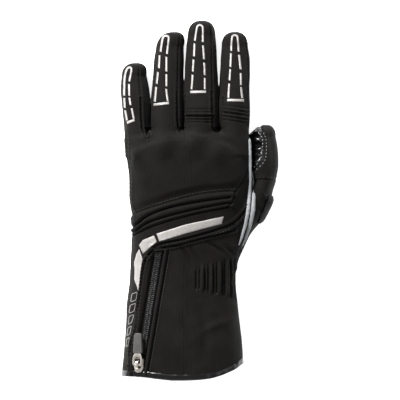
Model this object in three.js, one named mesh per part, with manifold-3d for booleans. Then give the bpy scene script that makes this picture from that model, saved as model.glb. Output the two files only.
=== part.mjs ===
import * as THREE from "three";
import { mergeVertices } from "three/addons/utils/BufferGeometryUtils.js";
import Module from "manifold-3d";

// A textile motorcycle glove for the left hand, lying palm down.
// Millimetres: X runs to the thumb side, Y to the fingertips, Z up from the table.

const wasm = await Module();
wasm.setup();

// Driving dimensions
const WALL = 2.6; // softshell, padding and lining together
const FINGER_WALL = 2.2;
const GAP = 0.3; // between neighbouring pieces
const TRIM = 0.9; // reflector foil and piping leather
const FINGER_SEAM_Y = 62; // the fingers are set into the hand here
const THUMB_SEAM_Y = 17;
const WRIST_SEAM_Y = -45;
const SIDE_SEAM_Z = 25; // back and palm meet at this height
const THUMB_SEAM_Z = 14;
const THUMB_SEAM_X = 40;
const HAND_EDGE_X = 46.5; // the thumb stands clear of the hand beyond this
const HEM_WIDTH = 3.4;
const BEYOND = 90; // half the length of a cutter that passes right through

// Sections of the hand and cuff: distance along, left and right edge, top and underside.
// An underside below zero is pressed flat on the table.
const HAND = {
  sides: 28,
  roundness: 2.6,
  rows: [
    { y: -156, left: -67.0, right: 36.9, top: 57, under: -4 },
    { y: -134, left: -64.9, right: 36.2, top: 56, under: -4 },
    { y: -114, left: -63.2, right: 34.6, top: 54, under: -4 },
    { y: -93, left: -62.2, right: 32.2, top: 51, under: -3 },
    { y: -73, left: -60.0, right: 30.4, top: 48, under: -1 },
    { y: -58, left: -59.0, right: 30.8, top: 46.5, under: -1 },
    { y: -42, left: -58.1, right: 34.0, top: 47, under: -2 },
    { y: -17, left: -57.3, right: 40.5, top: 49, under: -4 },
    { y: 0, left: -58.7, right: 43.6, top: 50.5, under: -4 },
    { y: 18, left: -60.0, right: 45.2, top: 52, under: -3 },
    { y: 34, left: -61.5, right: 44.6, top: 52.5, under: -1 },
    { y: 50, left: -63.2, right: 42.8, top: 51, under: 2 },
  ],
  dome: { length: 9.5, shift: 0 },
};

// Sections of the fingers and thumb, each ending in a dome whose apex is moved by shift.
const LITTLE = {
  sides: 14,
  roundness: 2.3,
  rows: [
    { y: 38, left: -61.5, right: -42.4, top: 44, under: 5 },
    { y: 62, left: -64.6, right: -42.3, top: 39.5, under: 7 },
    { y: 80, left: -66.2, right: -42.4, top: 36, under: 7 },
    { y: 95, left: -67.1, right: -43.6, top: 31, under: 4 },
    { y: 106, left: -66.4, right: -45.6, top: 26, under: 0.5 },
  ],
  dome: { length: 10.8, shift: 1.2 },
};
const RING = {
  sides: 14,
  roundness: 2.3,
  rows: [
    { y: 38, left: -41.7, right: -14.4, top: 50, under: 5 },
    { y: 62, left: -41.7, right: -14.2, top: 46, under: 7 },
    { y: 80, left: -41.6, right: -14.2, top: 43, under: 8 },
    { y: 96, left: -40.3, right: -14.4, top: 38.5, under: 8 },
    { y: 120, left: -38.8, right: -14.0, top: 30, under: 4 },
    { y: 131, left: -36.8, right: -14.4, top: 25.5, under: 0 },
  ],
  dome: { length: 12.2, shift: 3 },
};
const MIDDLE = {
  sides: 14,
  roundness: 2.3,
  rows: [
    { y: 38, left: -13.7, right: 15.0, top: 50.5, under: 6 },
    { y: 62, left: -13.6, right: 15.2, top: 47.5, under: 8 },
    { y: 80, left: -13.4, right: 15.2, top: 45, under: 9 },
    { y: 100, left: -13.2, right: 15.0, top: 40, under: 9 },
    { y: 120, left: -12.2, right: 14.2, top: 34, under: 6 },
    { y: 140, left: -10.2, right: 12.8, top: 26, under: 0.5 },
  ],
  dome: { length: 13, shift: 0.6 },
};
const INDEX = {
  sides: 14,
  roundness: 2.3,
  rows: [
    { y: 38, left: 15.8, right: 42.0, top: 48, under: 5 },
    { y: 62, left: 15.9, right: 42.0, top: 44.5, under: 7 },
    { y: 80, left: 16.0, right: 42.2, top: 42, under: 8 },
    { y: 100, left: 16.8, right: 42.4, top: 37, under: 7 },
    { y: 120, left: 17.6, right: 42.0, top: 30, under: 3 },
    { y: 131, left: 18.6, right: 40.5, top: 25.5, under: 0 },
  ],
  dome: { length: 12.6, shift: 0.2 },
};
const THUMB = {
  sides: 16,
  roundness: 2.3,
  rows: [
    { y: -54, left: 8, right: 28, top: 32, under: -3 },
    { y: -32, left: 18, right: 40.2, top: 36, under: -3 },
    { y: -17, left: 27, right: 52.2, top: 39, under: -3 },
    { y: 0, left: 38, right: 60.0, top: 40, under: -3 },
    { y: 9, left: 43, right: 61.8, top: 39.5, under: -2.5 },
    { y: 17, left: 46.2, right: 64.4, top: 38.5, under: -2 },
    { y: 29, left: 46.6, right: 67.2, top: 36, under: -1 },
    { y: 43, left: 46.7, right: 66.2, top: 32, under: -1 },
    { y: 54, left: 45.9, right: 64.0, top: 28, under: -0.5 },
  ],
  dome: { length: 10, shift: 2.6 },
};

// Each finger's panels: how far its back is turned to the little-finger side, in degrees.
const FINGERS = {
  little: { limb: LITTLE, roll: 24 },
  ring: { limb: RING, roll: 16 },
  middle: { limb: MIDDLE, roll: 8 },
  index: { limb: INDEX, roll: 3 },
};
const BACK_ARC = 118; // degrees of the ring that a finger's back covers
const SIDE_ARC = 54; // and each side wall
const INNER_SHARE = 0.7; // sides of the lining for each side of the outer skin
const DOME_STEPS = [0.38, 0.72, 1];

// Seams on the back of the hand and cuff
const point = (x, y) => new THREE.Vector2(x, y);
const RIB_TOP = [
  point(-72, -21),
  point(-53, -11),
  point(-28, -2.6),
  point(-4, 3.7),
  point(16, 6.4),
  point(29.4, 7.2),
];
const RIB_END = [point(27.9, 1.7), point(23.4, -5.8)];
const RIB_BOTTOM = [
  point(-0.9, -10.7),
  point(-19.9, -15.6),
  point(-38.9, -21.7),
  point(-55.3, -29.3),
  point(-72, -38),
];
const BAND_BOTTOM = [
  point(41.2, -6),
  point(29.4, -18.7),
  point(14.1, -25.5),
  point(-8.8, -32.3),
  point(-31.3, -37.2),
  point(-40, -41),
];
const SIDE_SEAM = [
  point(43.9, 16),
  point(43.9, 3.4),
  point(42.9, -8),
  point(40.6, -20),
  point(37, -34),
  point(33.4, WRIST_SEAM_Y),
];
const SEAM_CORNER = point(37.7, 15.3); // the double seam beside the ribs reaches the side here
const HEM = [
  point(-80, -150),
  point(-66, -150),
  point(-48, -150.4),
  point(-22, -153),
  point(8, -151.5),
  point(28, -145),
  point(37, -139.5),
  point(50, -136),
];

// The cuff's zip, from the wrist band to the hem: its edges at both ends
const ZIP = {
  top: -43,
  bottom: -149,
  centreTop: -34.9,
  centreBottom: -52.6,
  opening: 5.2, // half the width between the flaps
  flap: 3.2,
  teeth: 14,
  chainHalf: 2.6,
  toothDepth: 0.7,
  recess: 1.3,
};

// Ribs: the grooves between them, and their height
const RIBS = [
  { from: 0.06, to: 0.3, height: 1.4 },
  { from: 0.36, to: 0.6, height: 1.6 },
  { from: 0.66, to: 0.94, height: 1.4 },
];

// Knuckle protector under the cloth: one dome for each knuckle
const KNUCKLES = [
  { x: -51.5, y: 40, z: 36.5, wide: 10.5, long: 13, high: 9 },
  { x: -30, y: 44, z: 43.6, wide: 13, long: 14, high: 9 },
  { x: -5, y: 45, z: 45.6, wide: 13.5, long: 14, high: 9 },
  { x: 19, y: 41, z: 43.6, wide: 12.5, long: 13, high: 9 },
];

// Stretch pleats on the two long fingers
const PLEATS = {
  middle: [72.5, 76.2, 79.9],
  index: [69.8, 73.6, 77.4],
};
const PLEAT = { arc: 104, ridge: 1.3, width: 2.2 };

// Gathers in the back of the cuff: where each groove lies, and its two ends
const GATHERS = [
  { x: -3.0, from: -75, to: -56 },
  { x: 4.2, from: -76, to: -52 },
  { x: 11.4, from: -78, to: -49 },
  { x: 18.6, from: -81, to: -46 },
  { x: 25.4, from: -85, to: -45 },
];
const GATHER = { half: 1.5, depth: 1.4 };

// Reflective foil on the wrist band
const REFLECTORS = {
  reflector_long: [
    point(-37, -28.6),
    point(-12.3, -20.9),
    point(20.1, -13.9),
    point(18.4, -20.2),
    point(-10.8, -28.1),
    point(-34.3, -35),
  ],
  reflector_short: [
    point(-38.9, -30.1),
    point(-36.6, -35.4),
    point(-48.2, -45.6),
    point(-51.4, -38.3),
    point(-48.2, -34),
  ],
  reflector_side: [
    point(-51.4, -41.8),
    point(-48.7, -50.2),
    point(-51.7, -77.3),
    point(-56.4, -67.1),
    point(-55.8, -53),
    point(-53.6, -45.4),
  ],
};

// Piping of the thumb-side seam: two strips with the seam between them
const PIPING = {
  side_piping_inner: [
    { y: 52.5, from: 40.8, to: 43.2 },
    { y: 34, from: 41.3, to: 43.9 },
    { y: 17, from: 41.6, to: 44.0 },
    { y: 3.4, from: 40.6, to: 43.6 },
    { y: -9, from: 39.2, to: 42.5 },
    { y: -21, from: 37.2, to: 40 },
    { y: -32, from: 34.2, to: 36.4 },
  ],
  side_piping_outer: [
    { y: 14, from: 44.5, to: 45.5 },
    { y: 10, from: 44.5, to: 46.8 },
    { y: 3.4, from: 44.2, to: 47.4 },
    { y: -9, from: 43.2, to: 46.9 },
    { y: -23, from: 40.2, to: 43.6 },
    { y: -34, from: 37, to: 39.2 },
    { y: -42, from: 33.8, to: 35 },
  ],
};
const THUMB_PAD = [point(55.5, 2.5), point(66, 4), point(66, -22), point(50, -18.5)];

// The zip's slider and pull, which lies flat towards the fingers
const SLIDER = { x: -51.6, y: -139.5, length: 12, width: 8.4, plate: 1.6, turn: 4, lift: 1.1, corner: 2.2 };
const BRIDGE = { width: 2.4, thick: 1.2, legs: 7.6, rise: 3.8 };
const PULL = { pivot: 1.3, bar: 0.8, width: 9, length: 13, thick: 1.5, window: 6.2, reach: 7.4, tongue: 4.8 };
const GRIP = { width: 8.4, narrow: 6.2, length: 17, low: -2.2, high: 0.9, overlap: 2.4, room: 0.15 };

// Finishes
const finish = (color, roughness, metalness = 0) => () =>
  new THREE.MeshStandardMaterial({ color, roughness, metalness, flatShading: true });
const softshell = finish(0x26262a, 0.85);
const stretchCloth = finish(0x1d1d20, 0.8);
const sideCloth = finish(0x2e2e33, 0.8);
const palmLeather = finish(0x1b1b1d, 0.6);
const gripLeather = finish(0x151517, 0.35);
const foil = finish(0xcdc6be, 0.45);
const pipingLeather = finish(0x96969b, 0.5);
const blackPlastic = finish(0x101012, 0.3);
const greyRubber = finish(0x6e6964, 0.7);
const brightMetal = finish(0xf0ebe1, 0.25, 1);

const group = new THREE.Group();

// Solids from vertices and triangles, and back
function solidOf(geometry) {
  geometry.deleteAttribute("normal");
  geometry.deleteAttribute("uv");
  const merged = mergeVertices(geometry, 1e-4);
  const index = Array.from(merged.index.array);
  const triangles = [];
  for (let i = 0; i < index.length; i += 3) {
    const [a, b, c] = index.slice(i, i + 3);
    if (a !== b && b !== c && c !== a) triangles.push(a, b, c);
  }
  const vertProperties = merged.attributes.position.array;
  return new wasm.Manifold(new wasm.Mesh({ numProp: 3, vertProperties, triVerts: new Uint32Array(triangles) }));
}

function solidFrom(vertices, triangles) {
  const geometry = new THREE.BufferGeometry();
  geometry.setAttribute("position", new THREE.Float32BufferAttribute(vertices, 3));
  geometry.setIndex(triangles);
  return solidOf(geometry);
}

function meshOf(name, solid, material) {
  const made = solid.getMesh();
  const geometry = new THREE.BufferGeometry();
  geometry.setAttribute("position", new THREE.BufferAttribute(made.vertProperties, 3));
  geometry.setIndex(new THREE.BufferAttribute(made.triVerts, 1));
  geometry.computeVertexNormals();
  const mesh = new THREE.Mesh(geometry, material());
  mesh.name = name;
  return mesh;
}

// The largest body alone: a cut along a seam can leave crumbs beside it
function largest(solid) {
  const bodies = solid.decompose();
  return bodies.reduce((best, body) => (body.volume() > best.volume() ? body : best));
}

function add(name, solid, material) {
  group.add(meshOf(name, largest(solid), material));
}

// A limb's edges at any distance along it, eased between the rows of its table
function sectionAt(limb, y) {
  const { rows } = limb;
  const last = rows.length - 1;
  let i = 0;
  while (i < last - 1 && y > rows[i + 1].y) i += 1;
  const [before, from, to, after] = [rows[Math.max(i - 1, 0)], rows[i], rows[i + 1], rows[Math.min(i + 2, last)]];
  const span = to.y - from.y;
  const t = Math.min(Math.max((y - from.y) / span, 0), 1);
  const eased = (column) => {
    const slopeFrom = ((to[column] - before[column]) / (to.y - before.y)) * span;
    const slopeTo = ((after[column] - from[column]) / (after.y - from.y)) * span;
    const [square, cube] = [t ** 2, t ** 3];
    const weights = [2 * cube - 3 * square + 1, cube - 2 * square + t, 3 * square - 2 * cube, cube - square];
    const values = [from[column], slopeFrom, to[column], slopeTo];
    return weights.reduce((sum, weight, k) => sum + weight * values[k], 0);
  };
  return { left: eased("left"), right: eased("right"), top: eased("top"), under: eased("under") };
}

// A point of a limb's skin, moved out by offset: dome runs from 0 at its foot to 1 at its apex
function skinPoint(limb, y, dome, angle, offset) {
  const { left, right, top, under } = sectionAt(limb, y);
  const shrink = Math.cos((dome * Math.PI) / 2);
  const rise = Math.sin((dome * Math.PI) / 2);
  const power = (value) => Math.sign(value) * Math.abs(value) ** (2 / limb.roundness);
  const across = power(Math.cos(angle)) * ((right - left) / 2 + offset) * shrink;
  const up = power(Math.sin(angle)) * ((top - under) / 2 + offset) * shrink;
  const x = (left + right) / 2 + rise * limb.dome.shift + across;
  const z = Math.max((top + under) / 2 + up, -offset, 0);
  return [x, y + rise * (limb.dome.length + offset), z];
}

// The stations along a limb from one distance to another, or over the dome where to is missing
function stations(limb, from, to) {
  const end = to ?? limb.rows.at(-1).y;
  const between = limb.rows.map((row) => row.y).filter((y) => y > from + 1 && y < end - 1);
  const along = [from, ...between, end].map((y) => ({ y, dome: 0 }));
  if (to !== undefined) return along;
  return [...along, ...DOME_STEPS.map((dome) => ({ y: end, dome }))];
}

// The whole limb as a closed solid, grown or shrunk by offset
function limbSolid(limb, offset, from, to, sides = limb.sides) {
  const rings = stations(limb, from, to);
  const vertices = [];
  const triangles = [];
  for (const { y, dome } of rings) {
    for (let side = 0; side < sides; side += 1) {
      vertices.push(...skinPoint(limb, y, dome, (2 * Math.PI * side) / sides, offset));
    }
  }
  const at = (ring, side) => ring * sides + (side % sides);
  for (let ring = 0; ring < rings.length - 1; ring += 1) {
    for (let side = 0; side < sides; side += 1) {
      const [a, b, c, d] = [at(ring, side), at(ring, side + 1), at(ring + 1, side + 1), at(ring + 1, side)];
      triangles.push(a, c, b, a, d, c);
    }
  }
  for (let side = 1; side < sides - 1; side += 1) {
    triangles.push(at(0, 0), at(0, side), at(0, side + 1));
    triangles.push(at(rings.length - 1, 0), at(rings.length - 1, side + 1), at(rings.length - 1, side));
  }
  return solidFrom(vertices, triangles);
}

// A panel of a limb's wall between two angles and two distances along it
function limbPanel(limb, { fromAngle, toAngle, from, to, outer = 0, inner = -FINGER_WALL }) {
  const rows = stations(limb, from, to);
  const step = (2 * Math.PI) / limb.sides;
  const columns = Math.max(2, Math.round((toAngle - fromAngle) / step));
  const vertices = [];
  const triangles = [];
  for (const offset of [outer, inner]) {
    for (const { y, dome } of rows) {
      for (let column = 0; column <= columns; column += 1) {
        const angle = fromAngle + ((toAngle - fromAngle) * column) / columns;
        vertices.push(...skinPoint(limb, y, dome, angle, offset));
      }
    }
  }
  const at = (layer, row, column) => (layer * rows.length + row) * (columns + 1) + column;
  const quad = (a, b, c, d) => triangles.push(a, b, c, a, c, d);
  const [endRow, endColumn] = [rows.length - 1, columns];
  for (let row = 0; row < endRow; row += 1) {
    for (let column = 0; column < endColumn; column += 1) {
      quad(at(0, row, column), at(0, row + 1, column), at(0, row + 1, column + 1), at(0, row, column + 1));
      quad(at(1, row, column), at(1, row, column + 1), at(1, row + 1, column + 1), at(1, row + 1, column));
    }
    quad(at(0, row, 0), at(1, row, 0), at(1, row + 1, 0), at(0, row + 1, 0));
    quad(at(0, row, endColumn), at(0, row + 1, endColumn), at(1, row + 1, endColumn), at(1, row, endColumn));
  }
  for (let column = 0; column < endColumn; column += 1) {
    quad(at(0, 0, column), at(0, 0, column + 1), at(1, 0, column + 1), at(1, 0, column));
    quad(at(0, endRow, column), at(1, endRow, column), at(1, endRow, column + 1), at(0, endRow, column + 1));
  }
  return solidFrom(vertices, triangles);
}

// Outlines: smooth seams, and an outline drawn in by half a gap
const smooth = (points, steps) => new THREE.SplineCurve(points).getPoints(steps);

function inset(outline, distance) {
  const turn = Math.sign(THREE.ShapeUtils.area(outline));
  return outline.map((corner, i) => {
    const before = outline.at(i - 1);
    const after = outline[(i + 1) % outline.length];
    const into = corner.clone().sub(before).normalize();
    const out = after.clone().sub(corner).normalize();
    const [first, second] = [into, out].map((side) => point(-side.y, side.x).multiplyScalar(turn));
    const bisector = first.clone().add(second).normalize();
    const reach = Math.min(distance / Math.max(bisector.dot(first), 0.3), 3 * distance);
    return corner.clone().add(bisector.multiplyScalar(reach));
  });
}

// A prism that stands on an outline in the table's plane
function prism(outline, { low = -20, high = 90, margin = GAP / 2 } = {}) {
  const shape = new THREE.Shape(margin ? inset(outline, margin) : outline);
  const geometry = new THREE.ExtrudeGeometry(shape, { depth: high - low, bevelEnabled: false });
  return solidOf(geometry.translate(0, 0, low));
}

// A prism along Y whose outline lies across the glove
function crossPrism(outline, from, to) {
  const geometry = new THREE.ExtrudeGeometry(new THREE.Shape(outline), { depth: to - from, bevelEnabled: false });
  return solidOf(geometry.rotateX(Math.PI / 2).translate(0, to, 0));
}

function box(low, high) {
  const size = high.map((value, axis) => value - low[axis]);
  const middle = high.map((value, axis) => (value + low[axis]) / 2);
  return solidOf(new THREE.BoxGeometry(...size).translate(...middle));
}

// The glove's outer form without its free fingertips, grown or shrunk by offset.
// A share below one gives it fewer sides, for the lining's side of the cloth.
function bodyForm(offset, share = 1) {
  const cuffEnd = offset < 0 ? -160 : -156;
  const fingerStart = offset < 0 ? 40 : 38;
  const cut = FINGER_SEAM_Y - GAP / 2;
  const solid = (limb, from, to) => limbSolid(limb, offset, from, to, Math.round(limb.sides * share));
  let form = solid(HAND, cuffEnd);
  for (const { limb } of Object.values(FINGERS)) {
    form = form.add(solid(limb, fingerStart, FINGER_SEAM_Y + 2));
  }
  form = form.add(solid(THUMB, offset < 0 ? -50 : -54, THUMB_SEAM_Y + 2));
  const handBox = box([-BEYOND, -170, -1], [BEYOND, cut, 90]);
  const thumbRoom = box([46, THUMB_SEAM_Y - GAP / 2, -2], [BEYOND, BEYOND, 91]);
  return form.intersect(handBox).subtract(thumbRoom);
}

const innerForm = bodyForm(-WALL, INNER_SHARE);
const shell = bodyForm(0).subtract(innerForm);
const raisedHem = (rise) => HEM.map(({ x, y }) => point(x, y + rise));
const hemInside = prism([...raisedHem(HEM_WIDTH + GAP), point(60, -180), point(-90, -180)], { margin: 0 });
const trimmedShell = shell.subtract(hemInside);

// Everything under the side seam is the palm side
function palmSide(gap) {
  const outline = [
    point(-BEYOND, -10),
    point(BEYOND, -10),
    point(BEYOND, THUMB_SEAM_Z + gap),
    point(THUMB_SEAM_X + gap, THUMB_SEAM_Z + gap),
    point(THUMB_SEAM_X + gap, SIDE_SEAM_Z + gap),
    point(-BEYOND, SIDE_SEAM_Z + gap),
  ];
  return crossPrism(outline, -175, 70);
}
const backShell = trimmedShell.subtract(palmSide(GAP / 2));
const palmShell = trimmedShell.intersect(palmSide(-GAP / 2));

// Zip edges: the centreline's x at a distance along, moved across
const zipX = (y, across) => {
  const t = (ZIP.top - y) / (ZIP.top - ZIP.bottom);
  return THREE.MathUtils.lerp(ZIP.centreTop, ZIP.centreBottom, t) + across;
};
function zipStrip(fromAcross, toAcross, top = ZIP.top, bottom = -165) {
  return [
    point(zipX(top, fromAcross), top),
    point(zipX(bottom, fromAcross), bottom),
    point(zipX(bottom, toAcross), bottom),
    point(zipX(top, toAcross), top),
  ];
}

// Back of the hand, with the knuckle protector's domes under its cloth
function addHandBack() {
  const outline = [
    point(-BEYOND, -25),
    ...smooth(RIB_TOP, 12),
    SEAM_CORNER,
    point(HAND_EDGE_X, 16),
    point(HAND_EDGE_X, BEYOND),
    point(-BEYOND, BEYOND),
  ];
  let panel = backShell.intersect(prism(outline));
  const hollow = limbSolid(HAND, -1, -100);
  for (const { x, y, z, wide, long, high } of KNUCKLES) {
    const dome = new THREE.SphereGeometry(1, 10, 6).rotateX(Math.PI / 2).scale(wide, long, high);
    panel = panel.add(solidOf(dome.translate(x, y, z)).subtract(hollow));
  }
  add("hand_back", panel, softshell);
}

// Padded ribs across the back, between two curved seams
function addRibs() {
  const top = smooth(RIB_TOP, 10);
  const bottom = smooth([...RIB_BOTTOM].reverse().concat(RIB_END.at(-1)), 10);
  const outline = [...top, ...RIB_END, ...[...bottom].reverse().slice(1)];
  let panel = backShell.intersect(prism(outline));
  for (const { from, to, height } of RIBS) {
    const raised = bandBetween(bottom, top, from, to);
    const layer = limbSolid(HAND, height, -70, 30).subtract(limbSolid(HAND, -1, -72, 32));
    panel = panel.add(layer.intersect(prism(raised)));
  }
  add("rib_panel", panel.subtract(palmSide(GAP / 2)), softshell);
}

// The band from one share to another of the way between two seams
function bandBetween(lower, upper, from, to) {
  const edge = (share) => lower.map((low, i) => low.clone().lerp(upper[i], share));
  return [...edge(from), ...edge(to).reverse()];
}

function addWristBand() {
  const outline = [
    point(-BEYOND, -47),
    ...[...RIB_BOTTOM].reverse(),
    ...[...RIB_END].reverse(),
    RIB_TOP.at(-1),
    SEAM_CORNER,
    ...SIDE_SEAM.slice(0, 2),
    ...smooth(BAND_BOTTOM, 10),
    point(-44.4, -47.6),
    point(-52, -56),
    point(-BEYOND, -56),
  ];
  add("wrist_band", backShell.intersect(prism(outline)), softshell);
}

// Cuff: a gathered panel, a plain one beyond the zip, and the side of the thumb
function addCuff() {
  const right = [
    ...[...smooth(BAND_BOTTOM, 10)].reverse(),
    ...SIDE_SEAM.slice(2),
    point(BEYOND, -46),
    point(BEYOND, -170),
    point(zipX(-165, ZIP.opening + ZIP.flap), -165),
    point(zipX(ZIP.top, ZIP.opening + ZIP.flap), ZIP.top),
  ];
  let gathered = backShell.intersect(prism(right.slice(1)));
  const floorForm = limbSolid(HAND, -GATHER.depth, -158, 20);
  for (const { x, from, to } of GATHERS) {
    const middle = (from + to) / 2;
    const groove = [point(x, from), point(x + GATHER.half, middle), point(x, to), point(x - GATHER.half, middle)];
    gathered = gathered.subtract(prism(groove, { margin: 0, low: SIDE_SEAM_Z + 4 }).subtract(floorForm));
  }
  add("cuff_back", gathered, softshell);

  const left = [
    point(-BEYOND, -56),
    point(-52, -56),
    point(-44.4, -47.6),
    point(zipX(-47.6, -ZIP.opening - ZIP.flap), -47.6),
    point(zipX(-165, -ZIP.opening - ZIP.flap), -165),
    point(-BEYOND, -165),
  ];
  add("cuff_outer", backShell.intersect(prism(left)), softshell);
}

function addThumbBase() {
  const outline = [
    ...SIDE_SEAM,
    point(BEYOND, WRIST_SEAM_Y),
    point(BEYOND, THUMB_SEAM_Y + 1),
    point(HAND_EDGE_X, THUMB_SEAM_Y + 1),
    point(HAND_EDGE_X, 16),
  ];
  add("thumb_base", backShell.intersect(prism(outline)), sideCloth);
  add("thumb_heel_pad", raisedLayer(THUMB_PAD, 2.2, THUMB_SEAM_Z + 1), gripLeather);
}

// A layer that lies on the glove's form inside an outline
function raisedLayer(outline, thickness, low = SIDE_SEAM_Z + 1) {
  const layer = bodyForm(GAP + thickness).subtract(bodyForm(GAP));
  return layer.intersect(prism(outline, { low }));
}

function addPalm() {
  const between = (from, to) => prism([point(-BEYOND, from), point(BEYOND, from), point(BEYOND, to), point(-BEYOND, to)]);
  add("palm", palmShell.intersect(between(WRIST_SEAM_Y, BEYOND)), palmLeather);
  add("cuff_palm", palmShell.intersect(between(-170, WRIST_SEAM_Y)), softshell);
}

function addHem() {
  const outside = bodyForm(0.5);
  const inside = bodyForm(-WALL - 0.4);
  const strip = prism([...raisedHem(HEM_WIDTH), ...raisedHem(0).reverse()], { margin: 0 });
  add("hem_binding", outside.subtract(inside).intersect(strip), gripLeather);
}

// Zip: tape in the opening, a comb of teeth on it, and a flap with a piped edge on each side
function addZip() {
  const tape = bodyForm(-ZIP.recess).subtract(innerForm).subtract(hemInside);
  const low = SIDE_SEAM_Z + GAP / 2;
  add("zip_tape", tape.intersect(prism(zipStrip(-ZIP.opening, ZIP.opening), { low })), stretchCloth);

  const chainTop = bodyForm(-ZIP.recess + GAP + 1.4).subtract(bodyForm(-ZIP.recess + GAP));
  const pitch = (ZIP.top - 1 - (ZIP.bottom + HEM_WIDTH + 2)) / ZIP.teeth;
  const comb = [];
  const addSide = (side) => {
    const edge = [];
    for (let tooth = 0; tooth < ZIP.teeth; tooth += 1) {
      const y = ZIP.top - 1 - tooth * pitch;
      for (const [along, depth] of [[0, 0], [0.6, 0], [0.6, 1], [1, 1]]) {
        const yHere = y - along * pitch;
        edge.push(point(zipX(yHere, side * (ZIP.chainHalf - depth * ZIP.toothDepth)), yHere));
      }
    }
    comb.push(...(side > 0 ? edge : edge.reverse()));
  };
  addSide(1);
  addSide(-1);
  add("zip_chain", chainTop.intersect(prism(comb, { low, margin: 0 })), blackPlastic);

  const lip = bodyForm(TRIM).subtract(innerForm).subtract(hemInside).subtract(palmSide(GAP / 2));
  add("zip_flap_inner", lip.intersect(prism(zipStrip(ZIP.opening, ZIP.opening + ZIP.flap))), stretchCloth);
  const outer = zipStrip(-ZIP.opening - ZIP.flap, -ZIP.opening, -47.6);
  add("zip_flap_outer", lip.intersect(prism(outer)), stretchCloth);
}

// Foil and piping
function addTrim() {
  for (const [name, outline] of Object.entries(REFLECTORS)) {
    add(name, raisedLayer(outline, TRIM), foil);
  }
  for (const [name, rows] of Object.entries(PIPING)) {
    const right = rows.map(({ y, to }) => point(to, y));
    const left = rows.map(({ y, from }) => point(from, y)).reverse();
    add(name, raisedLayer([...right, ...left], TRIM), pipingLeather);
  }
}

// A finger: its back, its palm side and two side walls, and pleats where it has them
function addFinger(name, { limb, roll }) {
  const radians = THREE.MathUtils.degToRad;
  const halfGap = GAP / 2 / 12; // the angle of half a gap at the finger's radius
  const middle = radians(90 + roll);
  const arcs = {
    back: [middle - radians(BACK_ARC / 2), middle + radians(BACK_ARC / 2)],
    side_left: [middle + radians(BACK_ARC / 2), middle + radians(BACK_ARC / 2 + SIDE_ARC)],
    front: [middle + radians(BACK_ARC / 2 + SIDE_ARC), middle + radians(360 - BACK_ARC / 2 - SIDE_ARC)],
    side_right: [middle - radians(BACK_ARC / 2 + SIDE_ARC), middle - radians(BACK_ARC / 2)],
  };
  const start = FINGER_SEAM_Y + GAP / 2;
  for (const [panel, [fromAngle, toAngle]] of Object.entries(arcs)) {
    let solid = limbPanel(limb, { fromAngle: fromAngle + halfGap, toAngle: toAngle - halfGap, from: start });
    if (panel === "back" && PLEATS[name]) solid = pleated(limb, solid, middle, PLEATS[name]);
    const cloth = panel === "front" ? palmLeather : panel === "back" ? softshell : sideCloth;
    add(`${name}_${panel}`, solid, cloth);
  }
}

// Ridges of the stretch pleats, raised across the back of a finger
function pleated(limb, back, middle, ridges) {
  const half = THREE.MathUtils.degToRad(PLEAT.arc / 2);
  let solid = back;
  for (const y of ridges) {
    const ridge = limbPanel(limb, {
      fromAngle: middle - half,
      toAngle: middle + half,
      from: y - PLEAT.width / 2,
      to: y + PLEAT.width / 2,
      outer: PLEAT.ridge,
      inner: -1,
    });
    solid = solid.add(ridge);
  }
  return solid;
}

// Thumb: back, palm side, and the shiny grip patch that faces the index finger
function addThumb() {
  const radians = THREE.MathUtils.degToRad;
  const halfGap = GAP / 2 / 10;
  const start = THUMB_SEAM_Y + GAP / 2;
  const arcs = {
    thumb_grip_patch: [105, 170, gripLeather],
    thumb_front: [170, 330, palmLeather],
    thumb_back: [-30, 105, softshell],
  };
  for (const [name, [from, to, material]] of Object.entries(arcs)) {
    const panel = { fromAngle: radians(from) + halfGap, toAngle: radians(to) - halfGap, from: start };
    add(name, limbPanel(THUMB, panel), material);
  }
}

// Where a point over the cuff lies on its back, and how far the back slopes there
function cuffSurface(x, y) {
  const { left, right, top, under } = sectionAt(HAND, y);
  const across = (x - (left + right) / 2) / ((right - left) / 2);
  const remain = 1 - Math.abs(across) ** HAND.roundness;
  const z = (top + under) / 2 + ((top - under) / 2) * remain ** (1 / HAND.roundness);
  const fall = Math.abs(across) ** (HAND.roundness - 1) * remain ** (1 / HAND.roundness - 1);
  return { z, slope: -Math.sign(across) * fall * ((top - under) / (right - left)) };
}

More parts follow.
